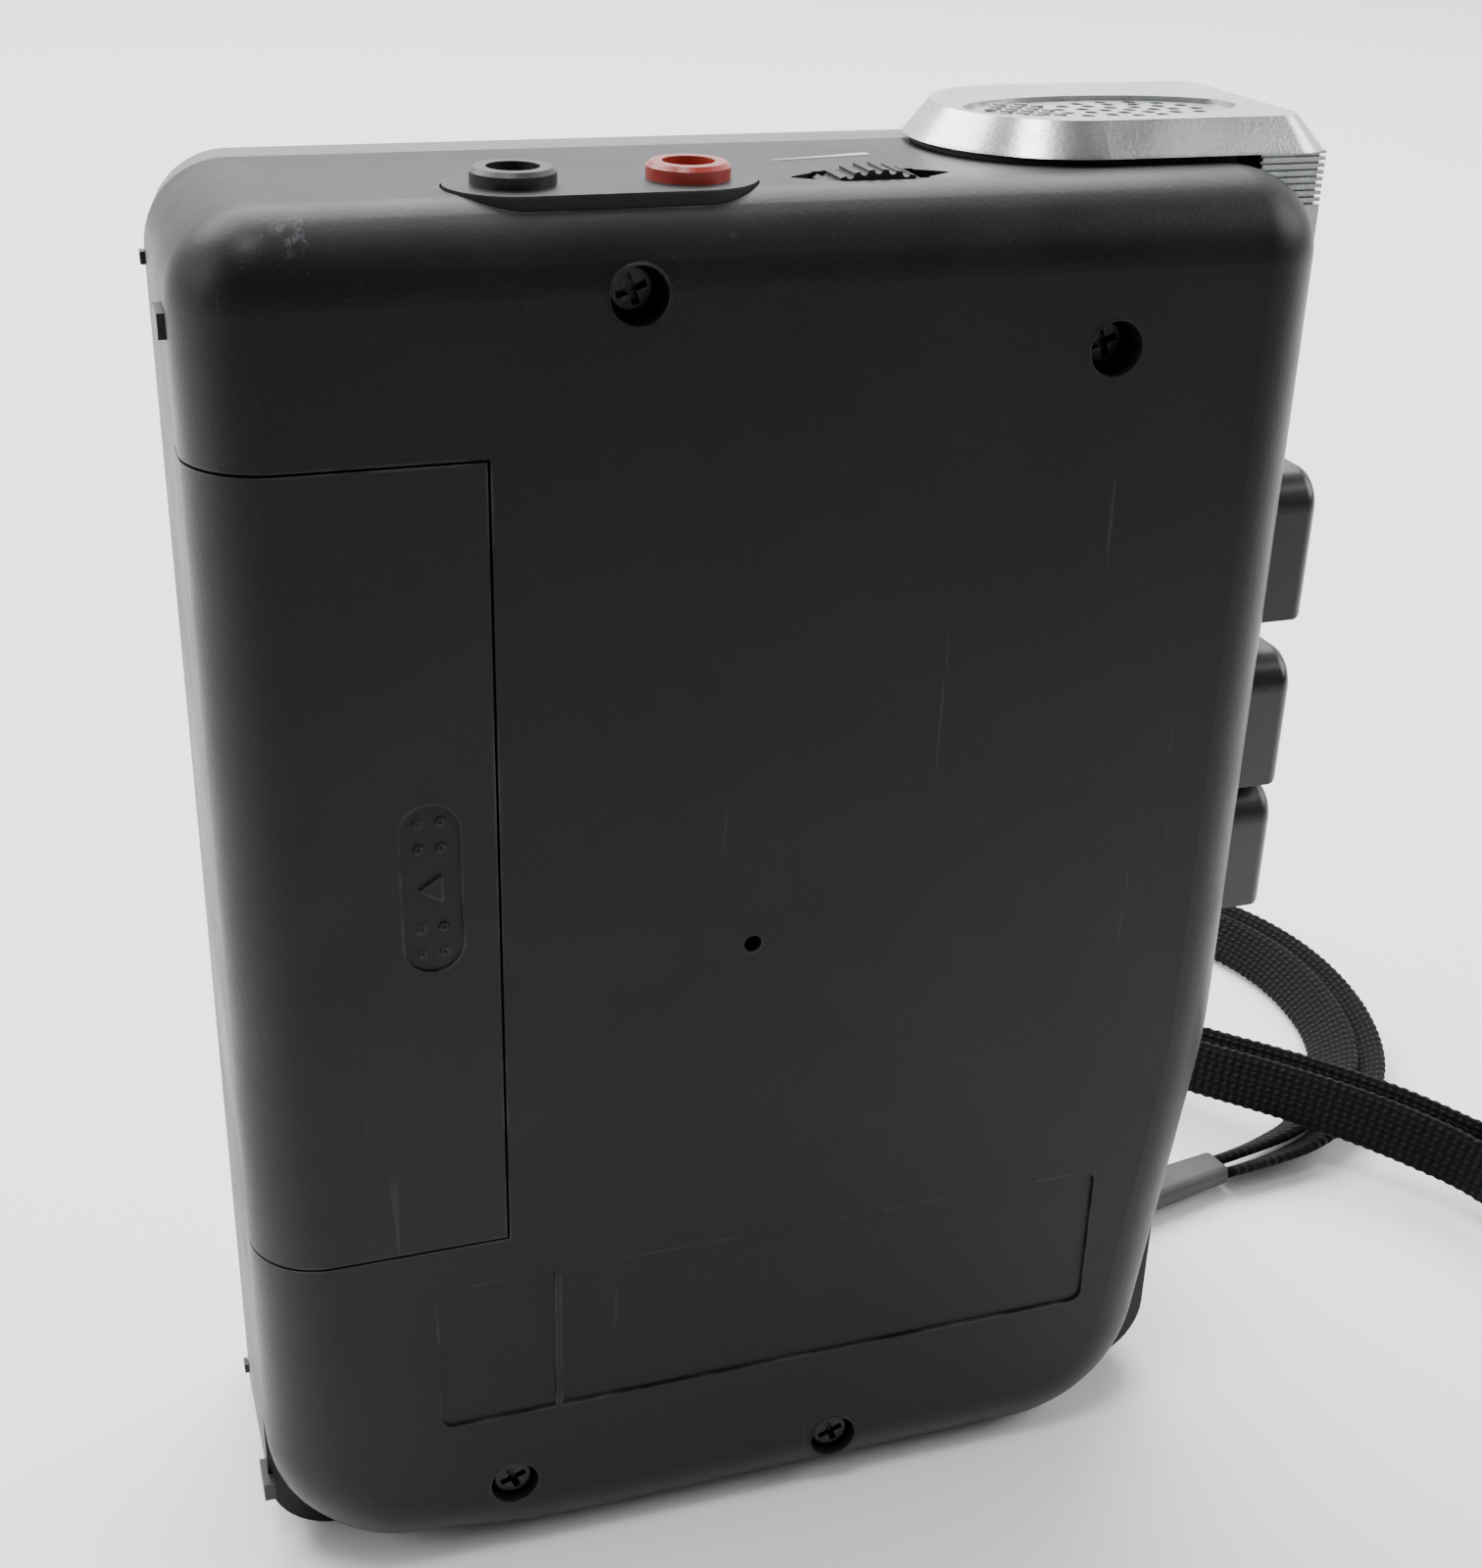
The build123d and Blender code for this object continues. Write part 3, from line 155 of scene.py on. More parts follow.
def band_mesh(line, widths, leans, thickness, around=20):
    """A flat woven band round a line; widths are in millimetres, leans in degrees, and its map in metres."""
    verts, faces, spots, travelled = [], [], [], 0.0
    for i, place in enumerate(line):
        before, after = line[max(i - 1, 0)], line[min(i + 1, len(line) - 1)]
        travelled += (place - line[i - 1]).length if i else 0
        ahead = (after - before).normalized()
        aside = ahead.cross(Vector((0, 0, 1))).normalized()
        above = aside.cross(ahead)
        share = i / (len(line) - 1)
        lean = radians(along(leans, share))
        half = along(widths, share) / 2000
        across = above * cos(lean) + aside * sin(lean)
        through = ahead.cross(across)
        knob = knob_height * sin(2 * pi * travelled / knob_pitch)
        for k in range(around):
            turn = 2 * pi * k / around
            c, s = cos(turn), sin(turn)
            wide = (abs(c) ** edge_squareness) * (1 if c > 0 else -1) * (half + knob * abs(c))
            deep = (abs(s) ** face_squareness) * (1 if s > 0 else -1) * thickness / 2
            verts.append(place + across * wide + through * deep)
            spots.append((travelled, wide))
    for i in range(len(line) - 1):
        for k in range(around):
            a, b = i * around + k, i * around + (k + 1) % around
            faces.append((a, b, b + around, a + around))
    faces.append(tuple(reversed(range(around))))
    last = (len(line) - 1) * around
    faces.append(tuple(range(last, last + around)))
    mesh = bpy.data.meshes.new("strap_band")
    mesh.from_pydata(verts, [], faces)
    sheet = mesh.uv_layers.new(name="band")
    for loop in mesh.loops:
        sheet.data[loop.index].uv = spots[loop.vertex_index]
    mesh.shade_smooth()
    return mesh


strap_mesh = band_mesh(strap_line, widths, leans, band_thickness)
strap_band = bpy.data.objects.new("strap_band", strap_mesh)
bpy.context.scene.collection.objects.link(strap_band)
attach(strap_band, "strap_anchor")
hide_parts("strap")
print("band", len(strap_band.data.polygons), "faces")

# %% [markdown]
# ## A small box of tools for finishes
#
# A finish is a chain of small steps: a pattern, a way to shape the pattern, and the place where it ends,
# such as colour, roughness or bump. One short function adds any step and wires its inputs, and a few
# more give the patterns that nearly every finish here starts from. Patterns read Object coordinates,
# in metres, so that a grain has the same real size on a key as on the case.

# %% Add one step to a finish
def put(finish, kind, inputs, **settings):
    """Add a step; each input takes a number, a colour or another step's output."""
    step = finish.node_tree.nodes.new("ShaderNode" + kind)
    for name, value in settings.items():
        setattr(step, name, value)
    for name, value in inputs.items():
        socket = step.inputs[name]
        if isinstance(value, bpy.types.NodeSocket):
            finish.node_tree.links.new(value, socket)
        else:
            socket.default_value = value
    return step.outputs


def new_finish(name, roughness, metal=0.0, ior=1.5):
    """A finish with its plain values on the shader's own sockets."""
    finish = bpy.data.materials.new(name)
    finish.use_nodes = True
    shader = finish.node_tree.nodes["Principled BSDF"]
    shader.inputs["Roughness"].default_value = roughness
    shader.inputs["Metallic"].default_value = metal
    shader.inputs["IOR"].default_value = ior
    return finish


def feed(finish, socket, source):
    """Wire a step into the shader."""
    shader = finish.node_tree.nodes["Principled BSDF"]
    finish.node_tree.links.new(source, shader.inputs[socket])


print("tools ready")

# %% Patterns that most finishes share
def spot(finish, stretch=(1, 1, 1), turn=(0, 0, 0)):
    """Object coordinates, stretched and turned."""
    here = put(finish, "TexCoord", {})["Object"]
    return put(finish, "Mapping", {"Vector": here, "Scale": stretch, "Rotation": turn})["Vector"]


def cloud(finish, scale, detail=3.0, roughness=0.55, where=None):
    """Soft noise; scale counts features per metre."""
    where = where or spot(finish)
    return put(finish, "TexNoise", {"Vector": where, "Scale": scale, "Detail": detail,
                                    "Roughness": roughness})["Fac"]


def spread(finish, source, low, high, start, end):
    """Stretch the part of a pattern between low and high over start to end."""
    return put(finish, "MapRange", {"Value": source, "From Min": low, "From Max": high,
                                    "To Min": start, "To Max": end})["Result"]


def tint(finish, share, first, second):
    """Colour between two colours, by a share."""
    mix = finish.node_tree.nodes.new("ShaderNodeMix")
    mix.data_type = "RGBA"
    for index, value in ((0, share), (6, first), (7, second)):
        if isinstance(value, bpy.types.NodeSocket):
            finish.node_tree.links.new(value, mix.inputs[index])
        elif index:
            mix.inputs[index].default_value = (*value, 1)
        else:
            mix.inputs[index].default_value = value
    return mix.outputs[2]


def times(finish, first, second):
    """Product of two patterns."""
    step = finish.node_tree.nodes.new("ShaderNodeMath")
    step.operation = "MULTIPLY"
    for index, value in enumerate((first, second)):
        if isinstance(value, bpy.types.NodeSocket):
            finish.node_tree.links.new(value, step.inputs[index])
        else:
            step.inputs[index].default_value = value
    return step.outputs[0]


def bumps(finish, height, depth, strength=1.0, under=None):
    """Bump from a pattern; depth in metres, laid over any bump under it."""
    inputs = {"Height": height, "Distance": depth, "Strength": strength}
    if under is not None:
        inputs["Normal"] = under
    return put(finish, "Bump", inputs)["Normal"]


def edges(finish, radius):
    """How near a point is to a sharp edge, 0 on the flats and 1 on the edge."""
    rounded = put(finish, "Bevel", {"Radius": radius}, samples=4)["Normal"]
    flat = put(finish, "NewGeometry", {})["Normal"]
    dot = put(finish, "VectorMath", {0: rounded, 1: flat}, operation="DOT_PRODUCT")["Value"]
    return spread(finish, dot, 0.995, 0.86, 0.0, 1.0)


def dress(finish, *names):
    """Give a finish to parts that arrived with the model."""
    for name in names:
        for slot in nodes[name].material_slots:
            slot.material = finish
    print(finish.name, "on", ", ".join(names))


print("patterns ready")

# %% [markdown]
# ## The dark case
#
# The case is moulded in a near-black plastic and sprayed with a fine satin paint. Under a low light it
# shows a faint grain like very fine sandpaper, cloudy patches where hands have polished it, a few pale
# hairline scratches, lighter rubbed edges, and two small pale smears near one corner. The grain and the
# patches are noise at two scales. The scratches are noise stretched far along one direction, so only
# thin slivers of it pass the threshold.

# %% Finish for the dark case
def scratches(finish, turn, length_scale=14.0, width_scale=900.0, rarity=0.72):
    """Thin, broken hairlines, all running much the same way."""
    where = spot(finish, (width_scale, width_scale, length_scale), turn)
    lines = spread(finish, cloud(finish, 1.0, 2.0, 0.5, where), rarity, rarity + 0.03, 0.0, 1.0)
    patch = spread(finish, cloud(finish, 70.0, 2.0), 0.56, 0.66, 0.0, 1.0)
    return times(finish, lines, patch)


def rub_mark(finish, place, reach):
    """A small smear of pale streaks round one place."""
    here = spot(finish)
    away = put(finish, "VectorMath", {0: here, 1: place}, operation="DISTANCE")["Value"]
    near = spread(finish, away, reach * 0.35, reach, 1.0, 0.0)
    streaks = cloud(finish, 1.0, 3.0, 0.7, spot(finish, (1500, 1500, 320), (0, 0.75, 0)))
    return times(finish, near, spread(finish, streaks, 0.50, 0.66, 0.0, 0.55))


def painted_case(name, dark, light, rubbed, roughness, marks=()):
    """Fine-grained satin paint with cloudy polish, hairlines and rubbed edges."""
    finish = new_finish(name, roughness, ior=1.31)
    patches = cloud(finish, 42.0, 4.0, 0.6)
    grain = cloud(finish, 2600.0, 2.0, 0.7)
    paint = tint(finish, spread(finish, patches, 0.3, 0.7, 0.0, 1.0), dark, light)
    speck = spread(finish, cloud(finish, 5200.0, 1.0), 0.70, 0.78, 0.0, 0.35)
    paint = tint(finish, speck, paint, rubbed)
    wear = times(finish, edges(finish, 0.00035),
                 spread(finish, cloud(finish, 260.0, 3.0), 0.42, 0.62, 0.0, 0.75))
    paint = tint(finish, wear, paint, rubbed)
    hairs = scratches(finish, (0.3, 0.5, 0.2), 60.0, 1500.0, 0.70)
    paint = tint(finish, times(finish, hairs, 0.14), paint, (0.10, 0.104, 0.108))
    for place, reach in marks:
        paint = tint(finish, rub_mark(finish, place, reach), paint, (0.15, 0.155, 0.17))
    feed(finish, "Base Color", paint)
    polish = spread(finish, cloud(finish, 90.0, 4.0, 0.6), 0.32, 0.68, roughness - 0.05, roughness + 0.07)
    feed(finish, "Roughness", polish)
    skin = bumps(finish, grain, 0.00003, 0.55)
    feed(finish, "Normal", bumps(finish, hairs, 0.00002, 0.5, skin))
    return finish


graphite_case = painted_case("graphite_case", (0.0055, 0.0062, 0.0072), (0.0085, 0.0094, 0.0106),
                             (0.060, 0.063, 0.066), 0.40,
                             (((0.0335, 0.0136, 0.1098), 0.0022), ((0.0385, 0.0125, 0.1068), 0.0020)))
dress(graphite_case, "rear_cabinet", "middle_cabinet")
cover_paint = painted_case("battery_cover_paint", (0.0068, 0.0082, 0.0100), (0.0100, 0.0118, 0.0140),
                           (0.065, 0.069, 0.075), 0.43)
dress(cover_paint, "battery_cover")
plate_paint = painted_case("jack_plate_paint", (0.014, 0.015, 0.016), (0.019, 0.020, 0.021),
                           (0.070, 0.072, 0.074), 0.40)
dress(plate_paint, "jack_plate")

# %% [markdown]
# ## Silver paint on the front frame and the lid
#
# The front half is sprayed silver. Silver paint is tiny metal flakes in clear lacquer: some catch the
# light and some don't, so brightness jumps from flake to flake. Cells of a Voronoi pattern are the
# flakes, and a part-metal shader gives them their shine. Handling has left the edges darker.

# %% Finish for the silver paint
def silver_spray(name, dark, light, roughness, metal):
    """Flaky silver lacquer with grime near the edges and soft polish marks."""
    finish = new_finish(name, roughness, metal)
    flakes = put(finish, "TexVoronoi", {"Vector": spot(finish), "Scale": 5200.0})["Color"]
    flake = put(finish, "SeparateColor", {"Color": flakes})["Red"]
    base = tint(finish, flake, dark, light)
    haze = spread(finish, cloud(finish, 38.0, 4.0, 0.6), 0.35, 0.7, 0.0, 0.35)
    base = tint(finish, haze, base, [c * 0.72 for c in dark])
    grime = times(finish, edges(finish, 0.0004),
                  spread(finish, cloud(finish, 300.0, 3.0), 0.4, 0.6, 0.0, 0.7))
    base = tint(finish, grime, base, [c * 0.45 for c in dark])
    hairs = scratches(finish, (0.2, 0.1, 0.6), rarity=0.71)
    base = tint(finish, times(finish, hairs, 0.4), base, [min(c * 1.9, 0.9) for c in light])
    feed(finish, "Base Color", base)
    polish = spread(finish, cloud(finish, 120.0, 3.0), 0.3, 0.7, roughness - 0.05, roughness + 0.06)
    feed(finish, "Roughness", polish)
    skin = bumps(finish, cloud(finish, 3200.0, 2.0, 0.6), 0.00002, 0.45)
    feed(finish, "Normal", bumps(finish, hairs, 0.00002, 0.4, skin))
    return finish


silver_paint = silver_spray("silver_paint", (0.075, 0.078, 0.076), (0.140, 0.145, 0.141), 0.42, 0.25)
dress(silver_paint, "front_frame", "cassette_lid")
satin_aluminium = silver_spray("satin_aluminium", (0.56, 0.57, 0.57), (0.70, 0.71, 0.71), 0.27, 0.92)
dress(satin_aluminium, "mic_cover", "mic_capsule")

# %% [markdown]
# ## Keys, collars and other small mouldings
#
# The keys are black plastic polished by fingers, glossier on their crowns than in their corners. The two
# socket collars are plain glossy rings, one red and one black. One recipe serves them all: a plastic
# whose colour drifts slightly, with dust in it, rubbed edges, and its own depth of grain.

# %% Finish for moulded plastics
def moulded(name, dark, light, roughness, grain=0.000012, size=1800.0, rub=(0.05, 0.05, 0.05)):
    """Moulded plastic with slow colour drift, fine grain, dust and rubbed edges."""
    finish = new_finish(name, roughness)
    drift = spread(finish, cloud(finish, 110.0, 3.0), 0.35, 0.65, 0.0, 1.0)
    base = tint(finish, drift, dark, light)
    dust = spread(finish, cloud(finish, 3600.0, 1.0), 0.72, 0.80, 0.0, 0.30)
    base = tint(finish, dust, base, rub)
    wear = times(finish, edges(finish, 0.00025),
                 spread(finish, cloud(finish, 420.0, 2.0), 0.4, 0.6, 0.0, 0.6))
    base = tint(finish, wear, base, rub)
    feed(finish, "Base Color", base)
    polish = spread(finish, cloud(finish, 160.0, 4.0, 0.6), 0.3, 0.7,
                    max(roughness - 0.07, 0.05), roughness + 0.08)
    feed(finish, "Roughness", polish)
    feed(finish, "Normal", bumps(finish, cloud(finish, size, 2.0, 0.6), grain, 0.6))
    return finish


dress(moulded("black_key", (0.0125, 0.0135, 0.0145), (0.0165, 0.0175, 0.0185), 0.26, 0.000006, 1400.0,
              (0.06, 0.062, 0.065)), "record_key", "play_key", "stop_key")
dress(moulded("black_plastic", (0.0065, 0.0065, 0.0070), (0.0105, 0.0105, 0.0110), 0.42), "ear_jack_collar",
      "ear_jack_body", "mic_jack_body", "battery_bay", "board_parts", "side_clips", "frame_tabs")
dress(moulded("wheel_plastic", (0.0035, 0.0035, 0.0038), (0.0060, 0.0060, 0.0064), 0.55, 0.00002, 2400.0,
              (0.030, 0.030, 0.031)), "volume_wheel")
dress(moulded("red_plastic", (0.250, 0.022, 0.016), (0.320, 0.034, 0.024), 0.30, 0.000008, 1500.0,
              (0.42, 0.13, 0.10)), "mic_jack_collar", "record_lamp")
dress(moulded("white_plastic", (0.56, 0.55, 0.51), (0.64, 0.63, 0.58), 0.38, 0.000008, 1500.0,
              (0.48, 0.46, 0.41)), "supply_spindle", "takeup_spindle", "erase_head", "speed_trimmer")
dress(moulded("black_rubber", (0.009, 0.009, 0.009), (0.016, 0.016, 0.016), 0.62, 0.00002, 2600.0,
              (0.045, 0.044, 0.042)), "mic_gasket", "drive_belt", "pinch_roller")
dress(moulded("grey_rubber", (0.024, 0.025, 0.027), (0.036, 0.037, 0.039), 0.52, 0.00004, 2200.0,
              (0.075, 0.076, 0.078)), "strap_sleeve")

# %% [markdown]
# ## Metals
#
# Steel sheet carries rolling lines, turned brass carries rings from the lathe, and screws are blackened.
# Stretched noise gives rolling lines. The metal's colour stays nearly even, while its roughness varies
# with the lines, because that is where a real brushed surface shows itself.

# %% Finish for the metals
def bare_metal(name, colour, roughness, stretch, depth=0.000008, stain=0.6):
    """Bare metal with tool lines, stains and worn edges."""
    finish = new_finish(name, roughness, 1.0)
    lines = cloud(finish, 1.0, 3.0, 0.6, spot(finish, stretch))
    stains = spread(finish, cloud(finish, 150.0, 4.0, 0.6), 0.40, 0.72, 0.0, stain)
    base = tint(finish, stains, colour, [c * 0.62 for c in colour])
    shine = times(finish, edges(finish, 0.0003), 0.5)
    base = tint(finish, shine, base, [min(c * 1.35, 0.95) for c in colour])
    feed(finish, "Base Color", base)
    shine_drift = spread(finish, lines, 0.25, 0.75, max(roughness - 0.1, 0.05), roughness + 0.12)
    feed(finish, "Roughness", shine_drift)
    feed(finish, "Normal", bumps(finish, lines, depth, 0.5))
    return finish


dress(bare_metal("steel", (0.50, 0.50, 0.49), 0.34, (300, 300, 9000)), "mechanism_plate",
      "mechanism_screws", "head_slide", "pinch_arm", "motor", "key_guide", "speaker", "volume_potentiometer")
dress(bare_metal("spring_steel", (0.60, 0.60, 0.59), 0.22, (4000, 4000, 4000)), "contact_springs",
      "contact_plates", "key_springs")
dress(bare_metal("polished_steel", (0.66, 0.66, 0.67), 0.14, (900, 9000, 900)), "capstan", "record_play_head")
dress(bare_metal("brass", (0.60, 0.43, 0.19), 0.28, (900, 9000, 900)), "mechanism_posts", "capstan_bush",
      "flywheel", "motor_pulley")
dress(bare_metal("dark_steel", (0.045, 0.046, 0.050), 0.36, (2600, 2600, 2600), 0.00001),
      "case_screws", "strap_pin")

# %% [markdown]
# ## Window, paper, board and cells
#
# Four finishes remain. The lid's window is clear plastic with faint scuffs. The speaker's cone is pressed
# paper with fibres in it. The circuit board is green resin with traces under the lacquer. The cells wear
# a plain printed jacket in two bands, whose height decides its colour.

# %% Finish for the window and the cone
clear_window = new_finish("clear_window", 0.06, 0.0, 1.49)
window_shader = clear_window.node_tree.nodes["Principled BSDF"]
window_shader.inputs["Transmission Weight"].default_value = 0.92
feed(clear_window, "Base Color", tint(clear_window, cloud(clear_window, 60.0),
                                      (0.62, 0.65, 0.66), (0.74, 0.77, 0.77)))
scuffs = scratches(clear_window, (0.1, 0.4, 0.9), rarity=0.66)
feed(clear_window, "Roughness", spread(clear_window, scuffs, 0.0, 1.0, 0.05, 0.45))
feed(clear_window, "Normal", bumps(clear_window, scuffs, 0.00001, 0.5))
dress(clear_window, "lid_window")

cone_paper = new_finish("cone_paper", 0.85)
fibres = cloud(cone_paper, 1.0, 4.0, 0.7, spot(cone_paper, (2600, 900, 700), (0, 0.6, 0)))
feed(cone_paper, "Base Color", tint(cone_paper, spread(cone_paper, fibres, 0.35, 0.65, 0.0, 1.0),
                                    (0.040, 0.036, 0.032), (0.075, 0.068, 0.060)))
feed(cone_paper, "Roughness", spread(cone_paper, fibres, 0.3, 0.7, 0.75, 0.95))
feed(cone_paper, "Normal", bumps(cone_paper, fibres, 0.00008, 0.7))
dress(cone_paper, "speaker_cone")

# %% Finish for the board and the cells
board_resin = new_finish("board_resin", 0.34)
tracks = put(board_resin, "TexBrick", {"Vector": spot(board_resin, (1, 1, 1), (pi / 2, 0, 0)), "Scale": 260.0,
                                       "Mortar Size": 0.035, "Color1": (0.03, 0.10, 0.045, 1),
                                       "Color2": (0.035, 0.12, 0.05, 1), "Mortar": (0.07, 0.20, 0.09, 1)})
weave = cloud(board_resin, 1400.0, 2.0)
feed(board_resin, "Base Color", tint(board_resin, spread(board_resin, weave, 0.3, 0.7, 0.0, 0.35),
                                     tracks["Color"], (0.02, 0.07, 0.03)))
feed(board_resin, "Roughness", spread(board_resin, weave, 0.3, 0.7, 0.26, 0.44))
feed(board_resin, "Normal", bumps(board_resin, tracks["Fac"], 0.00004, 0.6))
dress(board_resin, "circuit_board")

cell_jacket = new_finish("cell_jacket", 0.28, 0.35)
height = put(cell_jacket, "SeparateXYZ", {"Vector": spot(cell_jacket)})["Z"]
band_bottom, band_top = 0.0560, 0.0563
band = spread(cell_jacket, height, band_bottom, band_top, 0.0, 1.0)
print_grain = cloud(cell_jacket, 1800.0, 2.0)
jacket = tint(cell_jacket, band, (0.62, 0.60, 0.56), (0.035, 0.055, 0.12))
jacket = tint(cell_jacket, spread(cell_jacket, print_grain, 0.6, 0.75, 0.0, 0.3), jacket, (0.12, 0.13, 0.16))
feed(cell_jacket, "Base Color", jacket)
feed(cell_jacket, "Roughness", spread(cell_jacket, print_grain, 0.3, 0.7, 0.2, 0.38))
feed(cell_jacket, "Normal", bumps(cell_jacket, print_grain, 0.00001, 0.4))
dress(cell_jacket, "rear_cell", "front_cell")

# %% [markdown]
# ## The woven band's finish
#
# Flat nylon webbing is a tight weave: ribs cross the band, each rib a row of little floats, and the rows
# step sideways from one rib to the next. Three waves on the band's own map make the floats: one along
# the band, one across it and one on a slant. Their product is both the bump and the shade between
# threads. A little fuzz and a soft sheen keep it from looking like plastic.

# %% Finish for the webbing
black_webbing = new_finish("black_webbing", 0.82, ior=1.2)
web_shader = black_webbing.node_tree.nodes["Principled BSDF"]
web_shader.inputs["Sheen Weight"].default_value = 0.04
web_shader.inputs["Sheen Roughness"].default_value = 0.45
band_map = put(black_webbing, "UVMap", {}, uv_map="band")["UV"]


rib_pitch, thread_pitch, twill_pitch, twill_turn = 0.00095, 0.00062, 0.00080, 0.72


def wave(finish, where, pitch, direction):
    """Even waves on the band's map; at a scale of 1 the pattern repeats every 2 pi / 20 units."""
    return put(finish, "TexWave", {"Vector": where, "Scale": 2 * pi / 20 / pitch, "Distortion": 0.0},
               wave_type="BANDS", bands_direction=direction, wave_profile="SIN")["Fac"]


ribs = wave(black_webbing, band_map, rib_pitch, "X")
threads = wave(black_webbing, band_map, thread_pitch, "Y")
slant = put(black_webbing, "Mapping", {"Vector": band_map, "Rotation": (0, 0, twill_turn)})["Vector"]
twill = wave(black_webbing, slant, twill_pitch, "X")
weave_height = times(black_webbing, spread(black_webbing, ribs, 0.0, 1.0, 0.25, 1.0),
                     spread(black_webbing, threads, 0.0, 1.0, 0.35, 1.0))
weave_height = times(black_webbing, weave_height, spread(black_webbing, twill, 0.0, 1.0, 0.6, 1.0))
fuzz = cloud(black_webbing, 5200.0, 3.0, 0.7)
yarn = tint(black_webbing, weave_height, (0.0018, 0.0018, 0.0021), (0.0110, 0.0113, 0.0125))
lint = spread(black_webbing, fuzz, 0.66, 0.76, 0.0, 0.25)
feed(black_webbing, "Base Color", tint(black_webbing, lint, yarn, (0.055, 0.056, 0.060)))
feed(black_webbing, "Roughness", spread(black_webbing, weave_height, 0.0, 1.0, 0.88, 0.60))
threads_bump = bumps(black_webbing, weave_height, 0.00022, 0.9)
feed(black_webbing, "Normal", bumps(black_webbing, fuzz, 0.00004, 0.5, threads_bump))
strap_band.data.materials.append(black_webbing)
print("webbing ribs", round(rib_pitch * 1000, 2), "mm apart")

# %% [markdown]
# ## The printed wedge beside the volume wheel
#
# A thin wedge, printed on the top, shows which way the wheel turns the sound up. Print stands a few
# hundredths of a millimetre proud, so a very thin slab stands for it. The slab is divided in edit mode,
# and its points are then drawn in towards one end, which leaves straight sides and sharp corners.

# %% Print the wedge
def only(piece):
    """Select one piece and nothing else."""
    bpy.ops.object.select_all(action="DESELECT")
    piece.select_set(True)
    bpy.context.view_layer.objects.active = piece


def settle(piece, name, body, finish):
    """Put the piece's place into its mesh, give it a finish and hang it on a body."""
    only(piece)
    bpy.ops.object.transform_apply(location=True, rotation=True, scale=True)
    piece.name = name
    piece.data.name = name
    piece.data.materials.clear()
    piece.data.materials.append(finish)
    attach(piece, body)
    print(name, len(piece.data.polygons), "faces")


case_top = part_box("middle_cabinet")[1][2]
wedge_place = (-0.0060, 0.00195, case_top + 0.00001)
wedge_size = (0.0080, 0.0009, 0.00005)
wedge_turn = radians(10.7)
middle_width, narrowing = 0.62, 0.76
wedge_print = moulded("wedge_print", (0.34, 0.345, 0.34), (0.42, 0.425, 0.42), 0.5, 0.000006, 2200.0,
                      (0.2, 0.2, 0.2))
bpy.ops.object.select_all(action="DESELECT")
bpy.ops.mesh.primitive_cube_add(size=1, location=wedge_place)
wedge = bpy.context.object
wedge.scale = wedge_size
wedge.rotation_euler = (0, 0, wedge_turn)
only(wedge)
bpy.ops.object.mode_set(mode="EDIT")
bpy.ops.mesh.select_all(action="SELECT")
bpy.ops.mesh.subdivide(number_cuts=3)
bpy.ops.mesh.select_all(action="DESELECT")
bpy.ops.object.mode_set(mode="OBJECT")
for corner in wedge.data.vertices:
    corner.co.y *= middle_width - narrowing * corner.co.x
settle(wedge, "volume_wedge", "case", wedge_print)
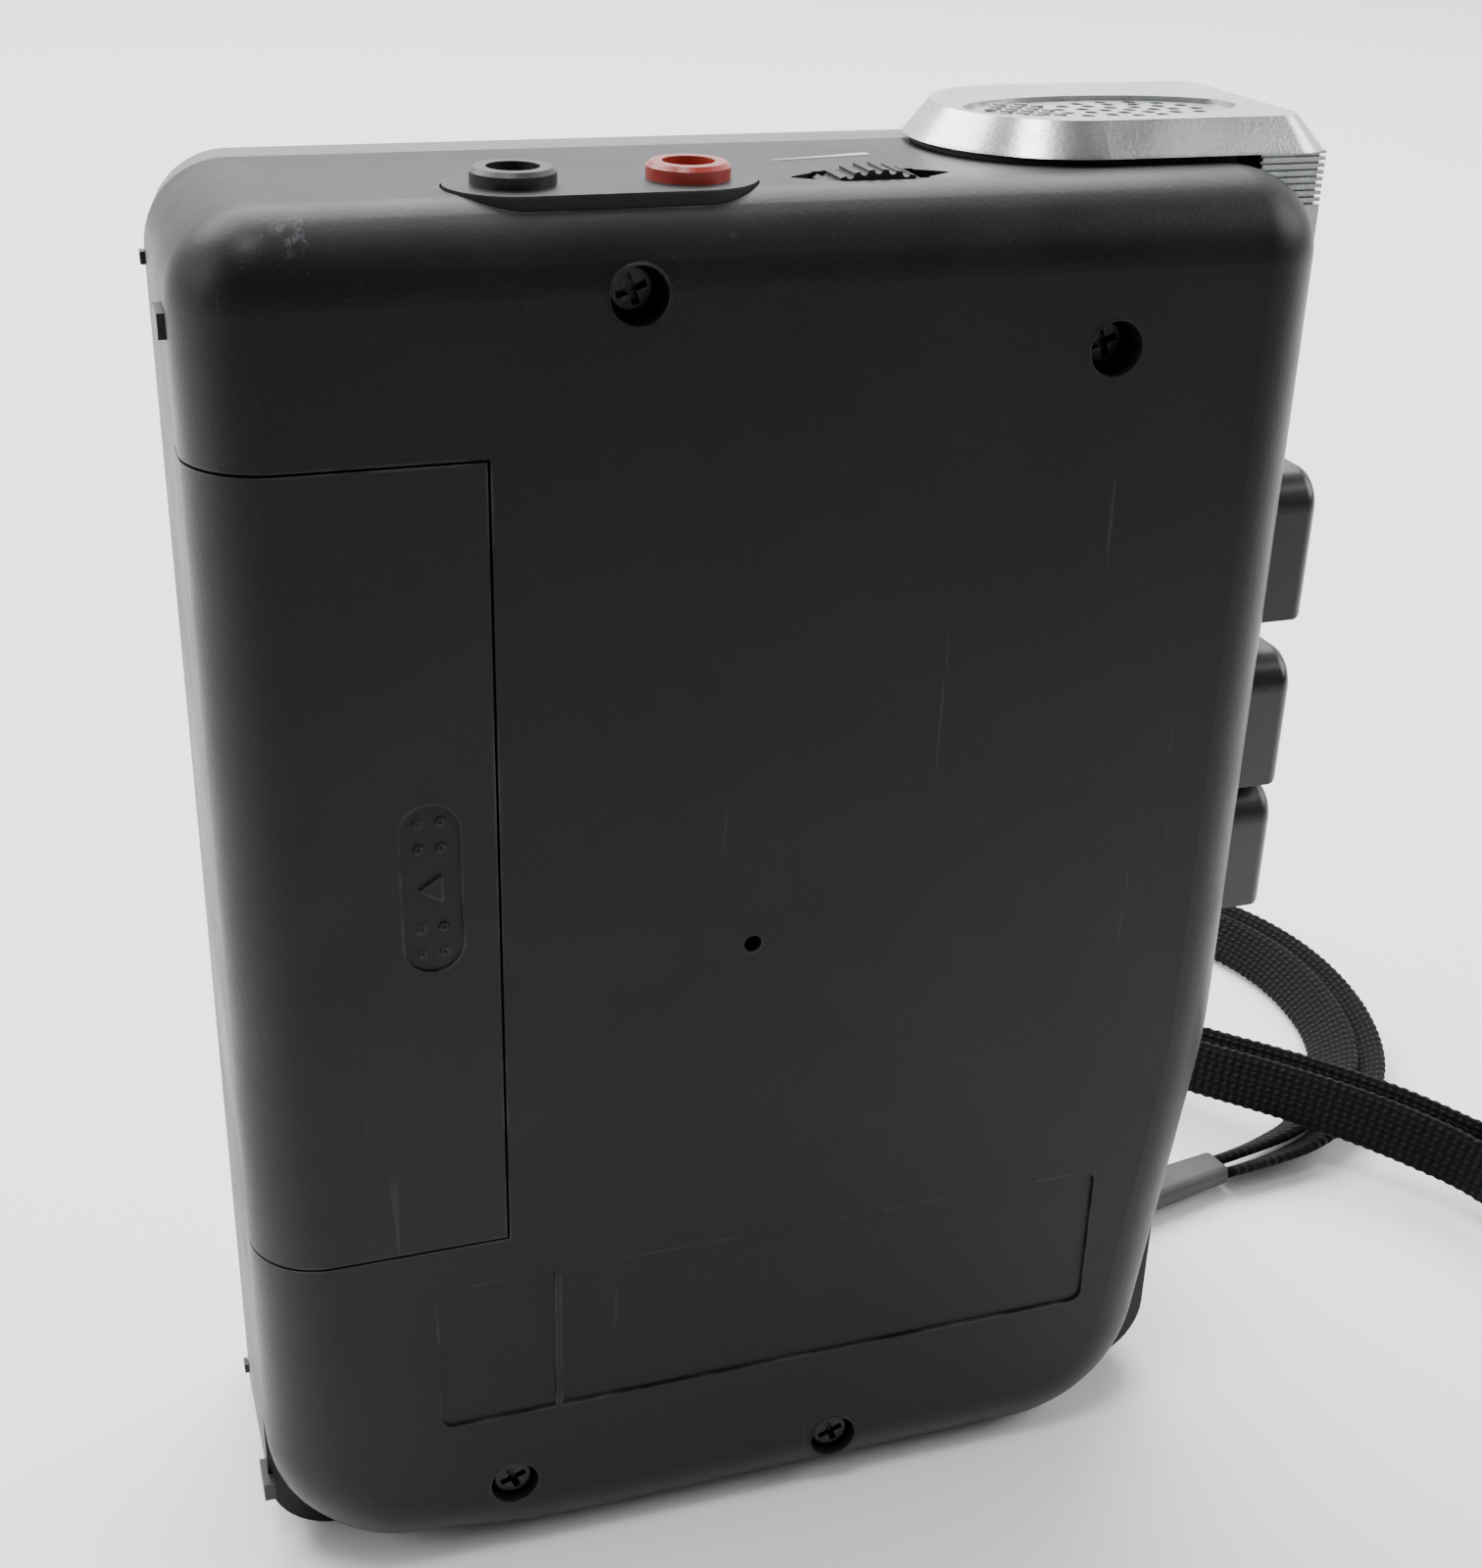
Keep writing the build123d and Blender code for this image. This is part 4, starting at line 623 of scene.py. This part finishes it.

# %% [markdown]
# ## Table and light
#
# The set is a pale table under soft light. One broad light hangs over the far side, where the top of the
# case mirrors it, with a weaker one at each side and a small one overhead. The room is bright on the far
# side and almost dark on the near side. The table is pale round the machine, and painted shade darkens
# it towards the near side, where the real table lay in shadow, so that the dark back isn't washed out by
# what it mirrors. Wide lights give soft shadow edges.

# %% Lay the table and hang the lights
bpy.ops.object.select_all(action="DESELECT")
bpy.ops.mesh.primitive_plane_add(size=8, location=(0, 0, 0))
table = bpy.context.object
table.name = "table_top"
table_paint = new_finish("table_paint", 0.6)
table_shade = cloud(table_paint, 3.0, 2.0)
pale = tint(table_paint, table_shade, (0.86, 0.862, 0.835), (0.90, 0.902, 0.875))
toward = put(table_paint, "SeparateXYZ", {"Vector": spot(table_paint)})["Y"]
# Painted shade: the table's colour darkens towards the near side, standing in for the shadow that lay there.
darkening_starts, darkening_ends = 0.03, 0.22
painted_shade_share = spread(table_paint, toward, darkening_starts, darkening_ends, 0.0, 1.0)
feed(table_paint, "Base Color", tint(table_paint, painted_shade_share, pale, (0.285, 0.292, 0.295)))
feed(table_paint, "Normal", bumps(table_paint, cloud(table_paint, 900.0, 3.0), 0.00004, 0.3))
table.data.materials.append(table_paint)


def softbox(name, place, aim, size, power):
    """A square light that looks at a point."""
    data = bpy.data.lights.new(name, "AREA")
    data.shape = "RECTANGLE"
    data.size, data.size_y = size
    data.energy = power
    light = bpy.data.objects.new(name, data)
    gaze = (Vector(aim) - Vector(place)).to_track_quat("-Z", "Y")
    light.matrix_world = Matrix.Translation(place) @ gaze.to_matrix().to_4x4()
    bpy.context.scene.collection.objects.link(light)
    return light


softbox("sky_panel", (0.1, -0.9, 1.3), (0, 0, 0.05), (2.2, 1.2), 60)
softbox("left_panel", (1.3, 0.1, 0.7), (0, 0, 0.05), (0.8, 0.8), 7)
softbox("right_panel", (-1.2, 0.35, 0.8), (0, 0, 0.05), (0.9, 0.9), 15)
softbox("ceiling_strip", (0.25, 0.25, 1.2), (-0.03, 0, 0.11), (0.25, 0.25), 5)
room = bpy.data.worlds.new("room")
bpy.context.scene.world = room
room.use_nodes = True
ways = room.node_tree
look = ways.nodes.new("ShaderNodeTexCoord")
parts = ways.nodes.new("ShaderNodeSeparateXYZ")
glow = ways.nodes.new("ShaderNodeMapRange")
glow.interpolation_type = "SMOOTHSTEP"
dark_side, bright_side = 0.25, -0.35
least_glow, most_glow = 0.07, 1.65
for name, value in (("From Min", dark_side), ("From Max", bright_side),
                    ("To Min", least_glow), ("To Max", most_glow)):
    glow.inputs[name].default_value = value
ways.links.new(look.outputs["Generated"], parts.inputs["Vector"])
ways.links.new(parts.outputs["Y"], glow.inputs["Value"])
ways.links.new(glow.outputs["Result"], ways.nodes["Background"].inputs["Strength"])
ways.nodes["Background"].inputs["Color"].default_value = (0.96, 0.98, 1.0, 1)
